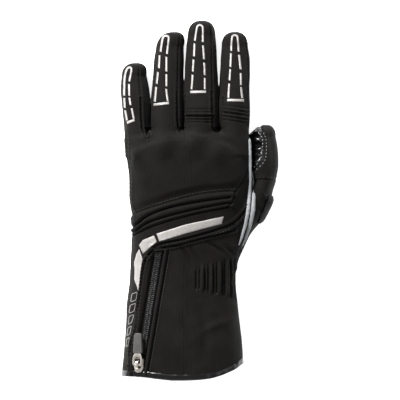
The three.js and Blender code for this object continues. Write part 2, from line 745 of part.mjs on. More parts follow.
// Slider, pull and grip share one frame whose X is the hinge: it lies on the cuff over the chain
function addSlider() {
  const { z, slope } = cuffSurface(SLIDER.x, SLIDER.y);
  const frame = new THREE.Group();
  frame.position.set(SLIDER.x, SLIDER.y, z + SLIDER.lift);
  frame.rotation.set(0, -Math.atan(slope), THREE.MathUtils.degToRad(SLIDER.turn), "ZYX");
  group.add(frame);

  const plate = new THREE.Shape();
  const [halfWidth, halfLength] = [SLIDER.width / 2, SLIDER.length / 2];
  plate.moveTo(-halfWidth * 0.62, -halfLength);
  plate.lineTo(halfWidth * 0.62, -halfLength);
  plate.lineTo(halfWidth, 0);
  plate.absarc(halfWidth - SLIDER.corner, halfLength - SLIDER.corner, SLIDER.corner, 0, Math.PI / 2);
  plate.absarc(-halfWidth + SLIDER.corner, halfLength - SLIDER.corner, SLIDER.corner, Math.PI / 2, Math.PI);
  plate.lineTo(-halfWidth, 0);
  const extrude = (shape, depth) =>
    new THREE.ExtrudeGeometry(shape, { depth, bevelEnabled: false, curveSegments: 4 });
  let slider = solidOf(extrude(plate, SLIDER.plate));
  const rail = (side) =>
    box(
      [side > 0 ? halfWidth - 1.2 : -halfWidth + 0.1, -halfLength * 0.2, -0.8],
      [side > 0 ? halfWidth - 0.1 : -halfWidth + 1.2, halfLength * 0.6, 0.4],
    );
  slider = slider.add(rail(1)).add(rail(-1));
  const legSpan = BRIDGE.legs / 2;
  const top = SLIDER.plate + BRIDGE.rise;
  const arch = new THREE.Shape();
  arch.moveTo(-legSpan - BRIDGE.thick, SLIDER.plate - 0.4);
  arch.lineTo(-legSpan - BRIDGE.thick, top - 1);
  arch.lineTo(-legSpan + 0.6, top);
  arch.lineTo(legSpan - 0.6, top);
  arch.lineTo(legSpan + BRIDGE.thick, top - 1);
  arch.lineTo(legSpan + BRIDGE.thick, SLIDER.plate - 0.4);
  arch.lineTo(legSpan, SLIDER.plate - 0.4);
  arch.lineTo(legSpan, top - BRIDGE.thick - 0.6);
  arch.lineTo(legSpan - 1, top - BRIDGE.thick);
  arch.lineTo(-legSpan + 1, top - BRIDGE.thick);
  arch.lineTo(-legSpan, top - BRIDGE.thick - 0.6);
  arch.lineTo(-legSpan, SLIDER.plate - 0.4);
  const bridge = extrude(arch, BRIDGE.width).rotateX(Math.PI / 2).rotateZ(Math.PI / 2);
  slider = slider.add(solidOf(bridge.translate(-BRIDGE.width / 2, 0, 0)));
  frame.add(meshOf("zip_slider", slider, brightMetal));

  const pullFrame = new THREE.Group();
  pullFrame.position.set(0, 0, SLIDER.plate + PULL.pivot);
  frame.add(pullFrame);
  const [half, tongue] = [PULL.width / 2, PULL.tongue / 2];
  const side = [
    point(half - 1.4, -PULL.bar),
    point(half, 2),
    point(half, PULL.reach),
    point(tongue, PULL.reach + 2.2),
    point(tongue, PULL.length),
  ];
  const mirrored = side.map(({ x, y }) => point(-x, y)).reverse();
  const pullShape = new THREE.Shape([...side, ...mirrored]);
  const halfWindow = BRIDGE.width / 2 + 0.5;
  pullShape.holes.push(
    new THREE.Path([
      point(-halfWindow, PULL.bar),
      point(halfWindow, PULL.bar),
      point(halfWindow, PULL.window),
      point(-halfWindow, PULL.window),
    ]),
  );
  const pull = solidOf(extrude(pullShape, PULL.thick).translate(0, 0, -PULL.thick / 2));
  pullFrame.add(meshOf("zip_pull", pull, brightMetal));

  const gripFrom = PULL.reach + GRIP.overlap;
  const gripTo = gripFrom + GRIP.length;
  const gripSide = [
    point(GRIP.width / 2, gripFrom),
    point(GRIP.narrow / 2 + 0.4, gripTo - 1.5),
    point(GRIP.narrow / 2 - 1.4, gripTo),
  ];
  const gripShape = new THREE.Shape([...gripSide, ...gripSide.map(({ x, y }) => point(-x, y)).reverse()]);
  const grip = solidOf(extrude(gripShape, GRIP.high - GRIP.low).translate(0, 0, GRIP.low));
  const socket = box(
    [-tongue - GRIP.room, gripFrom - 1, -PULL.thick / 2 - GRIP.room],
    [tongue + GRIP.room, PULL.length + GRIP.room, PULL.thick / 2 + GRIP.room],
  );
  pullFrame.add(meshOf("zip_grip", grip.subtract(socket), greyRubber));
}

addHandBack();
addRibs();
addWristBand();
addCuff();
addThumbBase();
addPalm();
addHem();
addZip();
addTrim();
for (const [name, finger] of Object.entries(FINGERS)) addFinger(name, finger);
addThumb();
addSlider();

export default group;
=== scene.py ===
"""Textile motorcycle glove for the left hand, lying palm down: its looks, light and camera.

The soft parts are grown from one implicit form, the same tables of sections as the solids.
Its skin is meshed, cut along the seams into panels, and each panel gets its wall.
Lengths are millimetres until a mesh is made. X runs to the thumb side, Y to the fingertips.
"""

from __future__ import annotations

import logging
import math
import sys
from dataclasses import dataclass, field
from enum import Enum
from typing import Callable, Iterable, Sequence

import bmesh
import bpy
import numpy as np
from mathutils import Matrix, Vector
from mathutils.geometry import delaunay_2d_cdt


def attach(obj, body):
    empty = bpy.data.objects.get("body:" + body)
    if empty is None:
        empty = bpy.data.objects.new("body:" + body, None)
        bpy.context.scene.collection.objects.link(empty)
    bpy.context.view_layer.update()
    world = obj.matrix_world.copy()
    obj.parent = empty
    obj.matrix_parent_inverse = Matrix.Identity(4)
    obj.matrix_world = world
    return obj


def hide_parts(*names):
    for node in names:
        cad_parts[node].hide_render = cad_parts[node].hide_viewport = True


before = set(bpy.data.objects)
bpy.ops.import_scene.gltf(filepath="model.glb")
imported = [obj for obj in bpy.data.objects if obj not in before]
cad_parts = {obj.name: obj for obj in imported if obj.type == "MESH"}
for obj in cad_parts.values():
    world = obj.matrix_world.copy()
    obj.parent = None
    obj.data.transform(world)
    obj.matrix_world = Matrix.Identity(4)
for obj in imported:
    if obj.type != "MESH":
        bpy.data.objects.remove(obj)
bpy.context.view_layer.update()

log = logging.getLogger("glove")

MM = 0.001
GLOVE = "glove"
PULL = "zip_pull"
WALL = 2.4
FINGER_WALL = 2.1
FINGER_SEAM_Y = 62.0
THUMB_SEAM_Y = 17.0
WRIST_SEAM_Y = -45.0
HAND_EDGE_X = 46.0
PIXEL = 0.85
PHOTO_CENTRE = (200.4, 200.0)
LATTICE = 0.85
LEAST_Z = 0.02
TIP_ROUNDNESS = 2.5

Array = np.ndarray
Point = tuple[float, float]


def photo(*pixels: Point) -> tuple[Point, ...]:
    """Places in the photograph's 400 by 400 frame, as millimetres seen from straight above.

    Args:
        pixels: the places, each as column and row.

    Returns:
        The same places as X and Y.
    """
    centre_x, centre_y = PHOTO_CENTRE
    return tuple(((x - centre_x) * PIXEL, (centre_y - y) * PIXEL) for x, y in pixels)


def smoothstep(low: float, high: float, value: Array) -> Array:
    """Zero below low, one above high, eased between them."""
    t = np.clip((value - low) / (high - low), 0, 1)
    return t * t * (3 - 2 * t)


def soft_min(a: Array, b: Array, reach: float | Array) -> Array:
    """The smaller of two distances, with a fillet of the given reach."""
    share = np.clip(0.5 + 0.5 * (b - a) / reach, 0, 1)
    return b + (a - b) * share - reach * share * (1 - share)


def bell(distance: Array, width: float) -> Array:
    """A bump of height one that fades with distance."""
    return np.exp(-((distance / width) ** 2))


def ripple(points: Array, wavelength: float, seed: int, waves: int = 7) -> Array:
    """Smooth random waves over space, between about minus one and one.

    Args:
        points: places, one row each.
        wavelength: the usual distance between crests.
        seed: picks the directions and phases.
        waves: how many plane waves are added up.

    Returns:
        One value for each place.
    """
    random = np.random.default_rng(seed)
    total = np.zeros(len(points))
    for _ in range(waves):
        direction = random.normal(size=3)
        direction *= 2 * math.pi / wavelength / np.linalg.norm(direction) * random.uniform(0.7, 1.4)
        total += np.sin(points @ direction + random.uniform(0, 2 * math.pi))
    return total / math.sqrt(waves) / 1.4


# Outlines and seams in the plane of the table


def in_box(points: Array, low: Array, high: Array) -> Array:
    """Whether each place's X and Y lie between two corners."""
    return ((points[:, :2] > low) & (points[:, :2] < high)).all(axis=1)


def smooth_path(points: Sequence[Point], step: float = 1.0, closed: bool = False) -> Array:
    """A Catmull-Rom curve through points, sampled about every step.

    Args:
        points: the places that it passes.
        step: distance between samples.
        closed: joins the last point to the first.

    Returns:
        The samples, one row each.
    """
    corners = np.array(points, float)
    count = len(corners)
    samples = []
    for i in range(count if closed else count - 1):
        if closed:
            a, b, c, d = (corners[(i + k) % count] for k in (-1, 0, 1, 2))
        else:
            a, b, c, d = (corners[min(max(i + k, 0), count - 1)] for k in (-1, 0, 1, 2))
        parts = max(1, int(np.linalg.norm(c - b) / step))
        t = (np.arange(parts) / parts)[:, None]
        cubic = (3 * b - a - 3 * c + d) * t**3 + (2 * a - 5 * b + 4 * c - d) * t**2
        samples.append(0.5 * (cubic + (c - a) * t + 2 * b))
    if not closed:
        samples.append(corners[-1:])
    return np.vstack(samples)


def along_path(path: Array, points: Array) -> tuple[Array, Array, Array]:
    """How places lie beside an open path.

    Args:
        path: the path's samples.
        points: the places, X and Y in the first two columns.

    Returns:
        Distance from the path, distance along it, and one or minus one for its left or right side.
    """
    best = np.full(len(points), 1e9)
    run = np.zeros(len(points))
    side = np.ones(len(points))
    start = 0.0
    for a, b in zip(path[:-1], path[1:]):
        leg = b - a
        length = float(np.hypot(*leg)) + 1e-9
        away = points[:, :2] - a
        t = np.clip((away @ leg) / length**2, 0, 1)
        gap = np.hypot(away[:, 0] - t * leg[0], away[:, 1] - t * leg[1])
        nearer = gap < best
        best[nearer] = gap[nearer]
        run[nearer] = start + t[nearer] * length
        turn = leg[0] * away[:, 1] - leg[1] * away[:, 0]
        side[nearer] = np.where(turn[nearer] >= 0, 1.0, -1.0)
        start += length
    return best, run, side


def outside_distance(outline: Array, points: Array, reach: float = 9.0) -> Array:
    """Distance from a closed outline, negative inside it.

    Args:
        outline: its corners in order.
        points: places, X and Y in the first two columns.
        reach: places further than this from the outline's box are given this distance.

    Returns:
        One distance for each place.
    """
    near = in_box(points, outline.min(axis=0) - reach, outline.max(axis=0) + reach)
    result = np.full(len(points), reach)
    result[near] = exact_distance(outline, points[near])
    return result


def exact_distance(outline: Array, points: Array) -> Array:
    """Distance from a closed outline, negative inside it, for every place.

    Args:
        outline: its corners in order.
        points: places, X and Y in the first two columns.

    Returns:
        One distance for each place.
    """
    x, y = points[:, 0], points[:, 1]
    best = np.full(len(points), 1e9)
    inside = np.zeros(len(points), bool)
    for a, b in zip(outline, np.roll(outline, -1, axis=0)):
        leg = b - a
        t = np.clip(((x - a[0]) * leg[0] + (y - a[1]) * leg[1]) / (leg @ leg + 1e-12), 0, 1)
        best = np.minimum(best, np.hypot(x - a[0] - t * leg[0], y - a[1] - t * leg[1]))
        if a[1] != b[1]:
            crosses = (a[1] > y) != (b[1] > y)
            at = a[0] + (y - a[1]) / (b[1] - a[1]) * leg[0]
            inside ^= crosses & (x < at)
    return np.where(inside, -best, best)


# The glove's form


def turned(angle: Array, edge: float) -> Array:
    """Degrees from an edge to angles, between minus and plus 180."""
    return (angle - edge + 180) % 360 - 180


@dataclass(frozen=True)
class Limb:
    """One rounded limb: a table of sections, and the dome that ends it.

    Each row holds the distance along, the left and right edge, the top and the underside.
    """

    roundness: float
    rows: tuple[tuple[float, float, float, float, float], ...]
    dome_length: float
    dome_shift: float
    tip: float = TIP_ROUNDNESS

    @property
    def start(self) -> float:
        """Where its first section lies."""
        return self.rows[0][0]

    @property
    def end(self) -> float:
        """Where its dome begins."""
        return self.rows[-1][0]

    def section(self, y: Array) -> tuple[Array, Array, Array, Array]:
        """Its left and right edge, top and underside at any distance along, eased between rows.

        Args:
            y: distances along the glove.

        Returns:
            Left, right, top and underside, each shaped as y.
        """
        table = np.array(self.rows)
        places, values = table[:, 0], table[:, 1:]
        last = len(places) - 1
        i = np.clip(np.searchsorted(places, y, side="right") - 1, 0, last - 1)
        before, after = np.maximum(i - 1, 0), np.minimum(i + 2, last)
        span = places[i + 1] - places[i]
        t = np.clip((y - places[i]) / span, 0, 1)[..., None]
        span = span[..., None]
        slope_from = (values[i + 1] - values[before]) / (places[i + 1] - places[before])[..., None] * span
        slope_to = (values[after] - values[i]) / (places[after] - places[i])[..., None] * span
        eased = (2 * t**3 - 3 * t**2 + 1) * values[i] + (t**3 - 2 * t**2 + t) * slope_from
        eased = eased + (3 * t**2 - 2 * t**3) * values[i + 1] + (t**3 - t**2) * slope_to
        return tuple(eased[..., k] for k in range(4))

    def distance(self, x: Array, y: Array, z: Array) -> Array:
        """About how far places lie outside its skin, negative inside.

        Args:
            x: places across.
            y: places along.
            z: heights.

        Returns:
            One value for each place, by broadcasting.
        """
        left, right, top, under = self.section(y)
        rise = np.clip((y - self.end) / self.dome_length, 0, None)
        half_width, half_height = (right - left) / 2, (top - under) / 2
        dx = x - (left + right) / 2 - np.minimum(rise, 1) * self.dome_shift
        dz = z - (top + under) / 2
        n, m = self.roundness, self.tip
        level = (np.abs(dx) / half_width) ** n + (np.abs(dz) / half_height) ** n
        size = (level ** (m / n) + rise**m + 1e-8) ** (1 / m)
        reach = np.sqrt(dx**2 + dz**2 + (rise * self.dome_length) ** 2 + 1e-6)
        return reach * (1 - 1 / size)

    def angle(self, points: Array) -> Array:
        """The direction of places from its axis, in degrees: 0 to the thumb side, 90 upwards."""
        left, right, top, under = self.section(points[:, 1])
        rise = np.clip((points[:, 1] - self.end) / self.dome_length, 0, 1)
        dx = (points[:, 0] - (left + right) / 2 - rise * self.dome_shift) / (right - left)
        dz = (points[:, 2] - (top + under) / 2) / (top - under)
        n = self.roundness
        dx, dz = (np.sign(d) * np.abs(d) ** (n / 2) for d in (dx, dz))
        return np.degrees(np.arctan2(dz, dx))


HAND = Limb(
    2.6,
    (
        (-156, -67.0, 36.9, 57, -4),
        (-134, -64.9, 36.2, 56, -4),
        (-114, -63.2, 34.6, 54, -4),
        (-93, -62.2, 32.2, 51, -3),
        (-73, -60.0, 30.4, 48, -1),
        (-58, -59.0, 30.8, 46.5, -1),
        (-42, -58.1, 34.0, 47, -2),
        (-17, -57.3, 40.5, 49, -4),
        (0, -58.7, 43.6, 50.5, -4),
        (18, -60.0, 45.2, 52, -3),
        (34, -61.5, 44.6, 52.5, -1),
        (50, -63.2, 42.8, 51, 2),
    ),
    9.5,
    0,
)
LITTLE = Limb(
    2.3,
    (
        (38, -61.5, -42.4, 44, 5),
        (62, -64.6, -42.3, 39.5, 7),
        (80, -66.2, -42.4, 36, 7),
        (95, -67.1, -43.6, 31, 4),
        (106, -66.4, -45.6, 26, 0.5),
    ),
    10.8,
    1.2,
)
RING = Limb(
    2.3,
    (
        (38, -41.7, -14.4, 50, 5),
        (62, -41.7, -14.2, 46, 7),
        (80, -41.6, -14.2, 43, 8),
        (96, -40.3, -14.4, 38.5, 8),
        (120, -38.8, -14.0, 30, 4),
        (131, -36.8, -14.4, 25.5, 0),
    ),
    12.2,
    3,
)
MIDDLE = Limb(
    2.3,
    (
        (38, -13.7, 15.0, 50.5, 6),
        (62, -13.6, 15.2, 47.5, 8),
        (80, -13.4, 15.2, 45, 9),
        (100, -13.2, 15.0, 40, 9),
        (120, -12.2, 14.2, 34, 6),
        (140, -10.2, 12.8, 26, 0.5),
    ),
    13,
    0.6,
)
INDEX = Limb(
    2.3,
    (
        (38, 15.8, 42.0, 48, 5),
        (62, 15.9, 42.0, 44.5, 7),
        (80, 16.0, 42.2, 42, 8),
        (100, 16.8, 42.4, 37, 7),
        (120, 17.6, 42.0, 30, 3),
        (131, 18.6, 40.5, 25.5, 0),
    ),
    12.6,
    0.2,
)
THUMB = Limb(
    2.3,
    (
        (-54, 8, 28, 32, -3),
        (-32, 18, 40.2, 36, -3),
        (-17, 27, 52.2, 39, -3),
        (0, 38, 60.0, 40, -3),
        (9, 43, 61.8, 39.5, -2.5),
        (17, 46.2, 64.4, 38.5, -2),
        (29, 46.6, 67.2, 36, -1),
        (43, 46.7, 66.2, 32, -1),
        (54, 45.9, 64.0, 28, -0.5),
    ),
    10,
    1.6,
    2.1,
)
FINGERS = {"little": LITTLE, "ring": RING, "middle": MIDDLE, "index": INDEX}


class Zone(Enum):
    """The parts of the form that are meshed one by one."""

    BLOCK = "block"
    LITTLE = "little"
    RING = "ring"
    MIDDLE = "middle"
    INDEX = "index"
    THUMB = "thumb"
    WHOLE = "whole"


@dataclass(frozen=True)
class Form:
    """The glove's outer form as a distance field, with fillets where its limbs meet."""

    between_fingers: float = 2.0
    knuckle_fillet: float = 3.5
    thumb_fillet: float = 9.0
    floor_fillet: float = 3.0
    least_fillet: float = 0.4
    overlap: float = 2.0
    probe: float = 0.05

    def distance(self, zone: Zone, x: Array, y: Array, z: Array) -> Array:
        """About how far places lie outside one zone's skin.

        Args:
            zone: the part of the form.
            x: places across.
            y: places along.
            z: heights.

        Returns:
            One value for each place, negative inside.
        """
        if zone is Zone.BLOCK or zone is Zone.WHOLE:
            fingers = None
            for limb in FINGERS.values():
                finger = np.maximum(limb.distance(x, y, z), limb.start - y)
                if zone is Zone.BLOCK:
                    finger = np.maximum(finger, y - FINGER_SEAM_Y - self.overlap)
                fillet = self.between_fingers if zone is Zone.BLOCK else 0.05
                fingers = finger if fingers is None else soft_min(fingers, finger, fillet)
            value = soft_min(HAND.distance(x, y, z), fingers, self.knuckle_fillet)
            thumb = np.maximum(THUMB.distance(x, y, z), THUMB.start - y)
            if zone is Zone.BLOCK:
                thumb = np.maximum(thumb, y - THUMB_SEAM_Y - self.overlap)
            least = self.least_fillet
            ease = least + (self.thumb_fillet - least) * (1 - smoothstep(0, THUMB_SEAM_Y, y))
            value = soft_min(value, thumb, ease)
        elif zone is Zone.THUMB:
            value = np.maximum(THUMB.distance(x, y, z), THUMB_SEAM_Y - self.overlap - y)
        else:
            value = np.maximum(FINGERS[zone.value].distance(x, y, z), FINGER_SEAM_Y - self.overlap - y)
        return -soft_min(-value, z, self.floor_fillet)

    def at(self, zone: Zone, points: Array) -> Array:
        """The distance field at rows of places."""
        return self.distance(zone, points[:, 0], points[:, 1], points[:, 2])

    def slope(self, zone: Zone, points: Array) -> Array:
        """The field's gradient at rows of places."""
        columns = []
        for axis in range(3):
            step = np.zeros(3)
            step[axis] = self.probe
            columns.append((self.at(zone, points + step) - self.at(zone, points - step)) / (2 * self.probe))
        return np.stack(columns, axis=1)

    def settle(self, zone: Zone, points: Array, rounds: int = 3) -> Array:
        """Places moved onto the skin along the field's gradient."""
        for _ in range(rounds):
            slope = self.slope(zone, points)
            size = np.maximum((slope**2).sum(axis=1), 0.05)
            move = (self.at(zone, points) / size)[:, None] * slope
            points = points - np.clip(move, -LATTICE, LATTICE)
        return points

    def normals(self, zone: Zone, points: Array) -> Array:
        """Directions straight out of the skin."""
        slope = self.slope(zone, points)
        return slope / np.maximum(np.linalg.norm(slope, axis=1, keepdims=True), 1e-9)

    def drop(self, flat: Array, ceiling: float = 72.0, levels: int = 60, halvings: int = 14) -> Array:
        """Lays places in the table's plane down onto the top of the glove.

        Args:
            flat: X and Y of each place.
            ceiling: the height that they fall from.
            levels: how many heights are tried before the crossing is refined.
            halvings: how many times it is refined.

        Returns:
            The places on the skin.
        """
        x, y = flat[:, 0], flat[:, 1]
        high = np.full(len(flat), ceiling)
        low = np.zeros(len(flat))
        found = np.zeros(len(flat), bool)
        for level in np.linspace(ceiling, 0.0, levels):
            inside = self.distance(Zone.WHOLE, x, y, np.full(len(flat), level)) < 0
            fresh = inside & ~found
            low[fresh] = level
            high[~found & ~inside] = level
            found |= inside
        for _ in range(halvings):
            middle = (low + high) / 2
            inside = self.distance(Zone.WHOLE, x, y, middle) < 0
            low = np.where(inside, middle, low)
            high = np.where(inside, high, middle)
        return np.stack([x, y, (low + high) / 2], axis=1)


FORM = Form()


@dataclass
class Skin:
    """A triangle mesh of one zone's skin."""

    points: Array
    faces: Array

    def split(self, values: Array, snap: float = 0.1) -> "Skin":
        """Cuts triangles where a value over the vertices crosses zero.

        Args:
            values: one for each vertex.
            snap: values nearer to zero than this count as zero.

        Returns:
            The cut skin.
        """
        values = np.where(np.abs(values) < snap, 0.0, values)
        signs = np.sign(values)[self.faces]
        crossing = (signs.max(axis=1) > 0) & (signs.min(axis=1) < 0)
        if not crossing.any():
            return self
        keep = self.faces[~crossing]
        cut = self.faces[crossing]
        edges = np.sort(np.concatenate([cut[:, [0, 1]], cut[:, [1, 2]], cut[:, [2, 0]]]), axis=1)
        crossed = values[edges[:, 0]] * values[edges[:, 1]] < 0
        unique, back = np.unique(edges[crossed], axis=0, return_inverse=True)
        a, b = unique[:, 0], unique[:, 1]
        t = (values[a] / (values[a] - values[b]))[:, None]
        fresh = self.points[a] * (1 - t) + self.points[b] * t
        number = np.full(len(edges), -1)
        number[crossed] = len(self.points) + back.reshape(-1)
        number = number.reshape(3, -1).T
        made = []
        for turn in range(3):
            p, q, r = (cut[:, (turn + k) % 3] for k in range(3))
            pq, qr, rp = (number[:, (turn + k) % 3] for k in range(3))
            lone = (pq >= 0) & (rp >= 0)
            made.append(np.stack([p, pq, rp], axis=1)[lone])
            made.append(np.stack([pq, q, r], axis=1)[lone])
            made.append(np.stack([pq, r, rp], axis=1)[lone])
            through = (qr >= 0) & (pq < 0) & (rp < 0)
            made.append(np.stack([p, q, qr], axis=1)[through])
            made.append(np.stack([p, qr, r], axis=1)[through])
        return Skin(np.vstack([self.points, fresh]), np.vstack([keep, *made]))

    def centres(self) -> Array:
        """The middle of each triangle."""
        return self.points[self.faces].mean(axis=1)


def mesh_field(zone: Zone, low: Sequence[float], high: Sequence[float]) -> Skin:
    """Meshes one zone's skin on a lattice, by surface nets.

    Args:
        zone: the part of the form.
        low: the lowest corner of the space that holds it.
        high: the highest corner.

    Returns:
        Its skin as triangles that face outwards.
    """
    axes = [np.arange(a, b + LATTICE, LATTICE) for a, b in zip(low, high)]
    x, y, z = axes[0][:, None, None], axes[1][None, :, None], axes[2][None, None, :]
    values = FORM.distance(zone, x, y, z)
    inside = values < 0
    corners = [(i, j, k) for i in (0, 1) for j in (0, 1) for k in (0, 1)]
    nx, ny, nz = values.shape
    shifted = (inside[i : nx - 1 + i, j : ny - 1 + j, k : nz - 1 + k] for i, j, k in corners)
    counts = sum(part.astype(np.int8) for part in shifted)
    active = (counts > 0) & (counts < 8)
    cells = np.argwhere(active)
    number = np.full(active.shape, -1)
    number[active] = np.arange(len(cells))
    at_corner = [values[tuple((cells + corner).T)] for corner in corners]
    total = np.zeros((len(cells), 3))
    count = np.zeros(len(cells))
    for first in range(8):
        for second in range(first + 1, 8):
            start, stop = np.array(corners[first]), np.array(corners[second])
            if np.abs(start - stop).sum() != 1:
                continue
            a, b = at_corner[first], at_corner[second]
            crossed = (a < 0) != (b < 0)
            t = np.where(crossed, a / np.where(crossed, a - b, 1), 0)
            total += crossed[:, None] * (start + t[:, None] * (stop - start))
            count += crossed
    points = (cells + total / count[:, None]) * LATTICE + np.array([axis[0] for axis in axes])
    faces = []
    for axis in range(3):
        ahead = [slice(None)] * 3
        behind = [slice(None)] * 3
        ahead[axis], behind[axis] = slice(1, None), slice(None, -1)
        change = inside[tuple(behind)] != inside[tuple(ahead)]
        leaving = inside[tuple(behind)]
        others = [k for k in range(3) if k != axis]
        places = np.argwhere(change)
        room = np.array(active.shape)
        fits = (places[:, others] > 0).all(axis=1) & (places[:, others] < room[others]).all(axis=1)
        places = places[fits]
        ring = []
        for step_u, step_v in ((-1, -1), (0, -1), (0, 0), (-1, 0)):
            cell = places.copy()
            cell[:, others[0]] += step_u
            cell[:, others[1]] += step_v
            ring.append(number[tuple(cell.T)])
        quad = np.stack(ring, axis=1)
        forward = leaving[tuple(places.T)]
        if axis == 1:
            forward = ~forward
        quad[~forward] = quad[~forward][:, ::-1]
        faces += [quad[:, [0, 1, 2]], quad[:, [0, 2, 3]]]
    return Skin(FORM.settle(zone, points), np.vstack(faces))


def vertex_normals(points: Array, faces: Array) -> Array:
    """Area-weighted directions out of a mesh, at its vertices."""
    a, b, c = (points[faces[:, k]] for k in range(3))
    flat = np.cross(b - a, c - a)
    total = np.zeros_like(points)
    for k in range(3):
        np.add.at(total, faces[:, k], flat)
    return total / np.maximum(np.linalg.norm(total, axis=1, keepdims=True), 1e-12)


# Seams on the back of the hand and cuff, as in the solids

RIB_TOP = ((-72, -21), (-53, -11), (-28, -2.6), (-4, 3.7), (16, 6.4), (29.4, 7.2))
RIB_END = ((27.9, 1.7), (23.4, -5.8))
RIB_BOTTOM = ((-0.9, -10.7), (-19.9, -15.6), (-38.9, -21.7), (-55.3, -29.3), (-72, -38))
RIB_LOWER = (*reversed(RIB_BOTTOM), RIB_END[-1])
BAND_BOTTOM = ((41.2, -6), (29.4, -18.7), (14.1, -25.5), (-8.8, -32.3), (-31.3, -37.2), (-40, -41))
SIDE_SEAM = ((43.9, 16), (43.9, 3.4), (42.9, -8), (40.6, -20), (37, -34), (33.4, -45))
SEAM_CORNER = (37.7, 15.3)
HEM = (
    *((-80, -150), (-66, -150), (-48, -150.4), (-22, -153)),
    *((8, -151.5), (28, -145), (37, -139.5), (50, -136)),
)
FIRST_GROOVE = ((-72, -33), (-55.1, -22.0), (-42.9, -12.9), (-24.8, -6.1), (0.5, -1.2), (25, 2.4))
SECOND_GROOVE = ((-72, -37), (-54.7, -26.5), (-42.8, -18.9), (-23, -12.5), (2.4, -6.6), (24.6, -2.1))
PROTECTOR = (
    (-59, 38),
    (-50, 47.5),
    (-38, 52.5),
    (-21.2, 55.3),
    (-1.2, 56.5),
    (15, 53),
    (29.4, 46.1),
    (37, 34.3),
    (38, 20),
    (30, 11),
    (5, 8),
    (-20, 3),
    (-45, -6),
    (-60, -8),
)


@dataclass(frozen=True)
class Zip:
    """Where the cuff's zip runs, and how wide its parts are."""

    top: float = -43.0
    bottom: float = -149.0
    centre_top: float = -34.9
    centre_bottom: float = -52.6
    opening: float = 5.0
    inner_flap: float = 2.9
    outer_flap: float = 4.6

    def x(self, y: float, across: float) -> float:
        """The X of a place beside the centreline."""
        t = (self.top - y) / (self.top - self.bottom)
        return self.centre_top + (self.centre_bottom - self.centre_top) * t + across

    def strip(self, left: float, right: float, top: float, bottom: float) -> Array:
        """The outline of a strip that runs along the zip."""
        places = ((top, left), (bottom, left), (bottom, right), (top, right))
        corners = [(self.x(y, across), y) for y, across in places]
        return np.array(corners)


ZIP = Zip()


def seam_outlines() -> dict[str, Array]:
    """The outlines of the panels on the back of the hand and cuff.

    Returns:
        Each panel's outline in the plane of the table, by its name.
    """
    top = smooth_path(RIB_TOP, 2.0)
    bottom = smooth_path(RIB_LOWER, 2.0)
    band = smooth_path(BAND_BOTTOM, 2.0)
    side = smooth_path(SIDE_SEAM, 2.0)
    rib = np.vstack([top, np.array(RIB_END), bottom[::-1][1:]])
    wrist = np.vstack(
        [
            [(-90, -56)],
            [(-90, -38)],
            bottom,
            np.array(RIB_END[::-1])[1:],
            [RIB_TOP[-1]],
            [SEAM_CORNER],
            side[:8],
            band,
            [(ZIP.x(-43, ZIP.opening), -43)],
            [(ZIP.x(-47.6, -ZIP.opening), -47.6)],
            [(-52, -56)],
        ]
    )
    return {
        "rib_panel": rib,
        "wrist_band": wrist,
        "zip_gap": ZIP.strip(-ZIP.opening, ZIP.opening, ZIP.top, -170),
        "thumb_base": np.vstack([side, [(90, -45)], [(90, 40)], [(45.6, 40)]]),
        "cuff_outer": np.array([(-90, -50), (-43, -47), (ZIP.x(-170, 0), -170), (-90, -170)]),
    }


OUTLINES = seam_outlines()


@dataclass(frozen=True)
class Line:
    """A line that is sewn or creased into the cloth, in the plane of the table."""

    path: tuple[Point, ...]

    @property
    def reach(self) -> float:
        """How far from the line it still shows."""
        return 8.0

    def shape(self, gap: Array, run: Array, side: Array, length: float) -> Array:
        """How far it moves the skin out.

        Args:
            gap: distances from the line.
            run: distances along it.
            side: one or minus one for its left or right side.
            length: of the whole line.

        Returns:
            One height for each place.
        """
        raise NotImplementedError

    def rise(self, points: Array) -> Array:
        """How far it moves the skin out at places."""
        line = smooth_path(self.path)
        near = in_box(points, line.min(axis=0) - self.reach, line.max(axis=0) + self.reach)
        result = np.zeros(len(points))
        length = float(np.hypot(*np.diff(line, axis=0).T).sum())
        result[near] = self.shape(*along_path(line, points[near]), length)
        return result


@dataclass(frozen=True)
class Groove(Line):
    """A sewn seam: a narrow valley with puffed edges, and puckers along it."""

    depth: float = 0.9
    width: float = 0.9
    puff: float = 0.35
    pucker: float = 0.0
    pitch: float = 3.4

    def shape(self, gap: Array, run: Array, side: Array, length: float) -> Array:
        """The valley, its edges and its puckers."""
        edges = self.puff * bell(gap - 2.2 * self.width, 1.3 * self.width)
        waves = np.sin(2 * math.pi * (run + 0.8 * gap * side) / self.pitch)
        return edges - self.depth * bell(gap, self.width) + self.pucker * waves * bell(gap - 1.2, 1.6)


@dataclass(frozen=True)
class Fold(Line):
    """A soft fold or crease that fades towards its ends."""

    height: float
    width: float

    @property
    def reach(self) -> float:
        """How far from the line it still shows."""
        return 4 * self.width

    def shape(self, gap: Array, run: Array, side: Array, length: float) -> Array:
        """One soft ridge or valley."""
        fade = np.sin(np.pi * np.clip(run / length, 0.04, 0.96)) ** 0.6
        return self.height * fade * bell(gap, self.width)


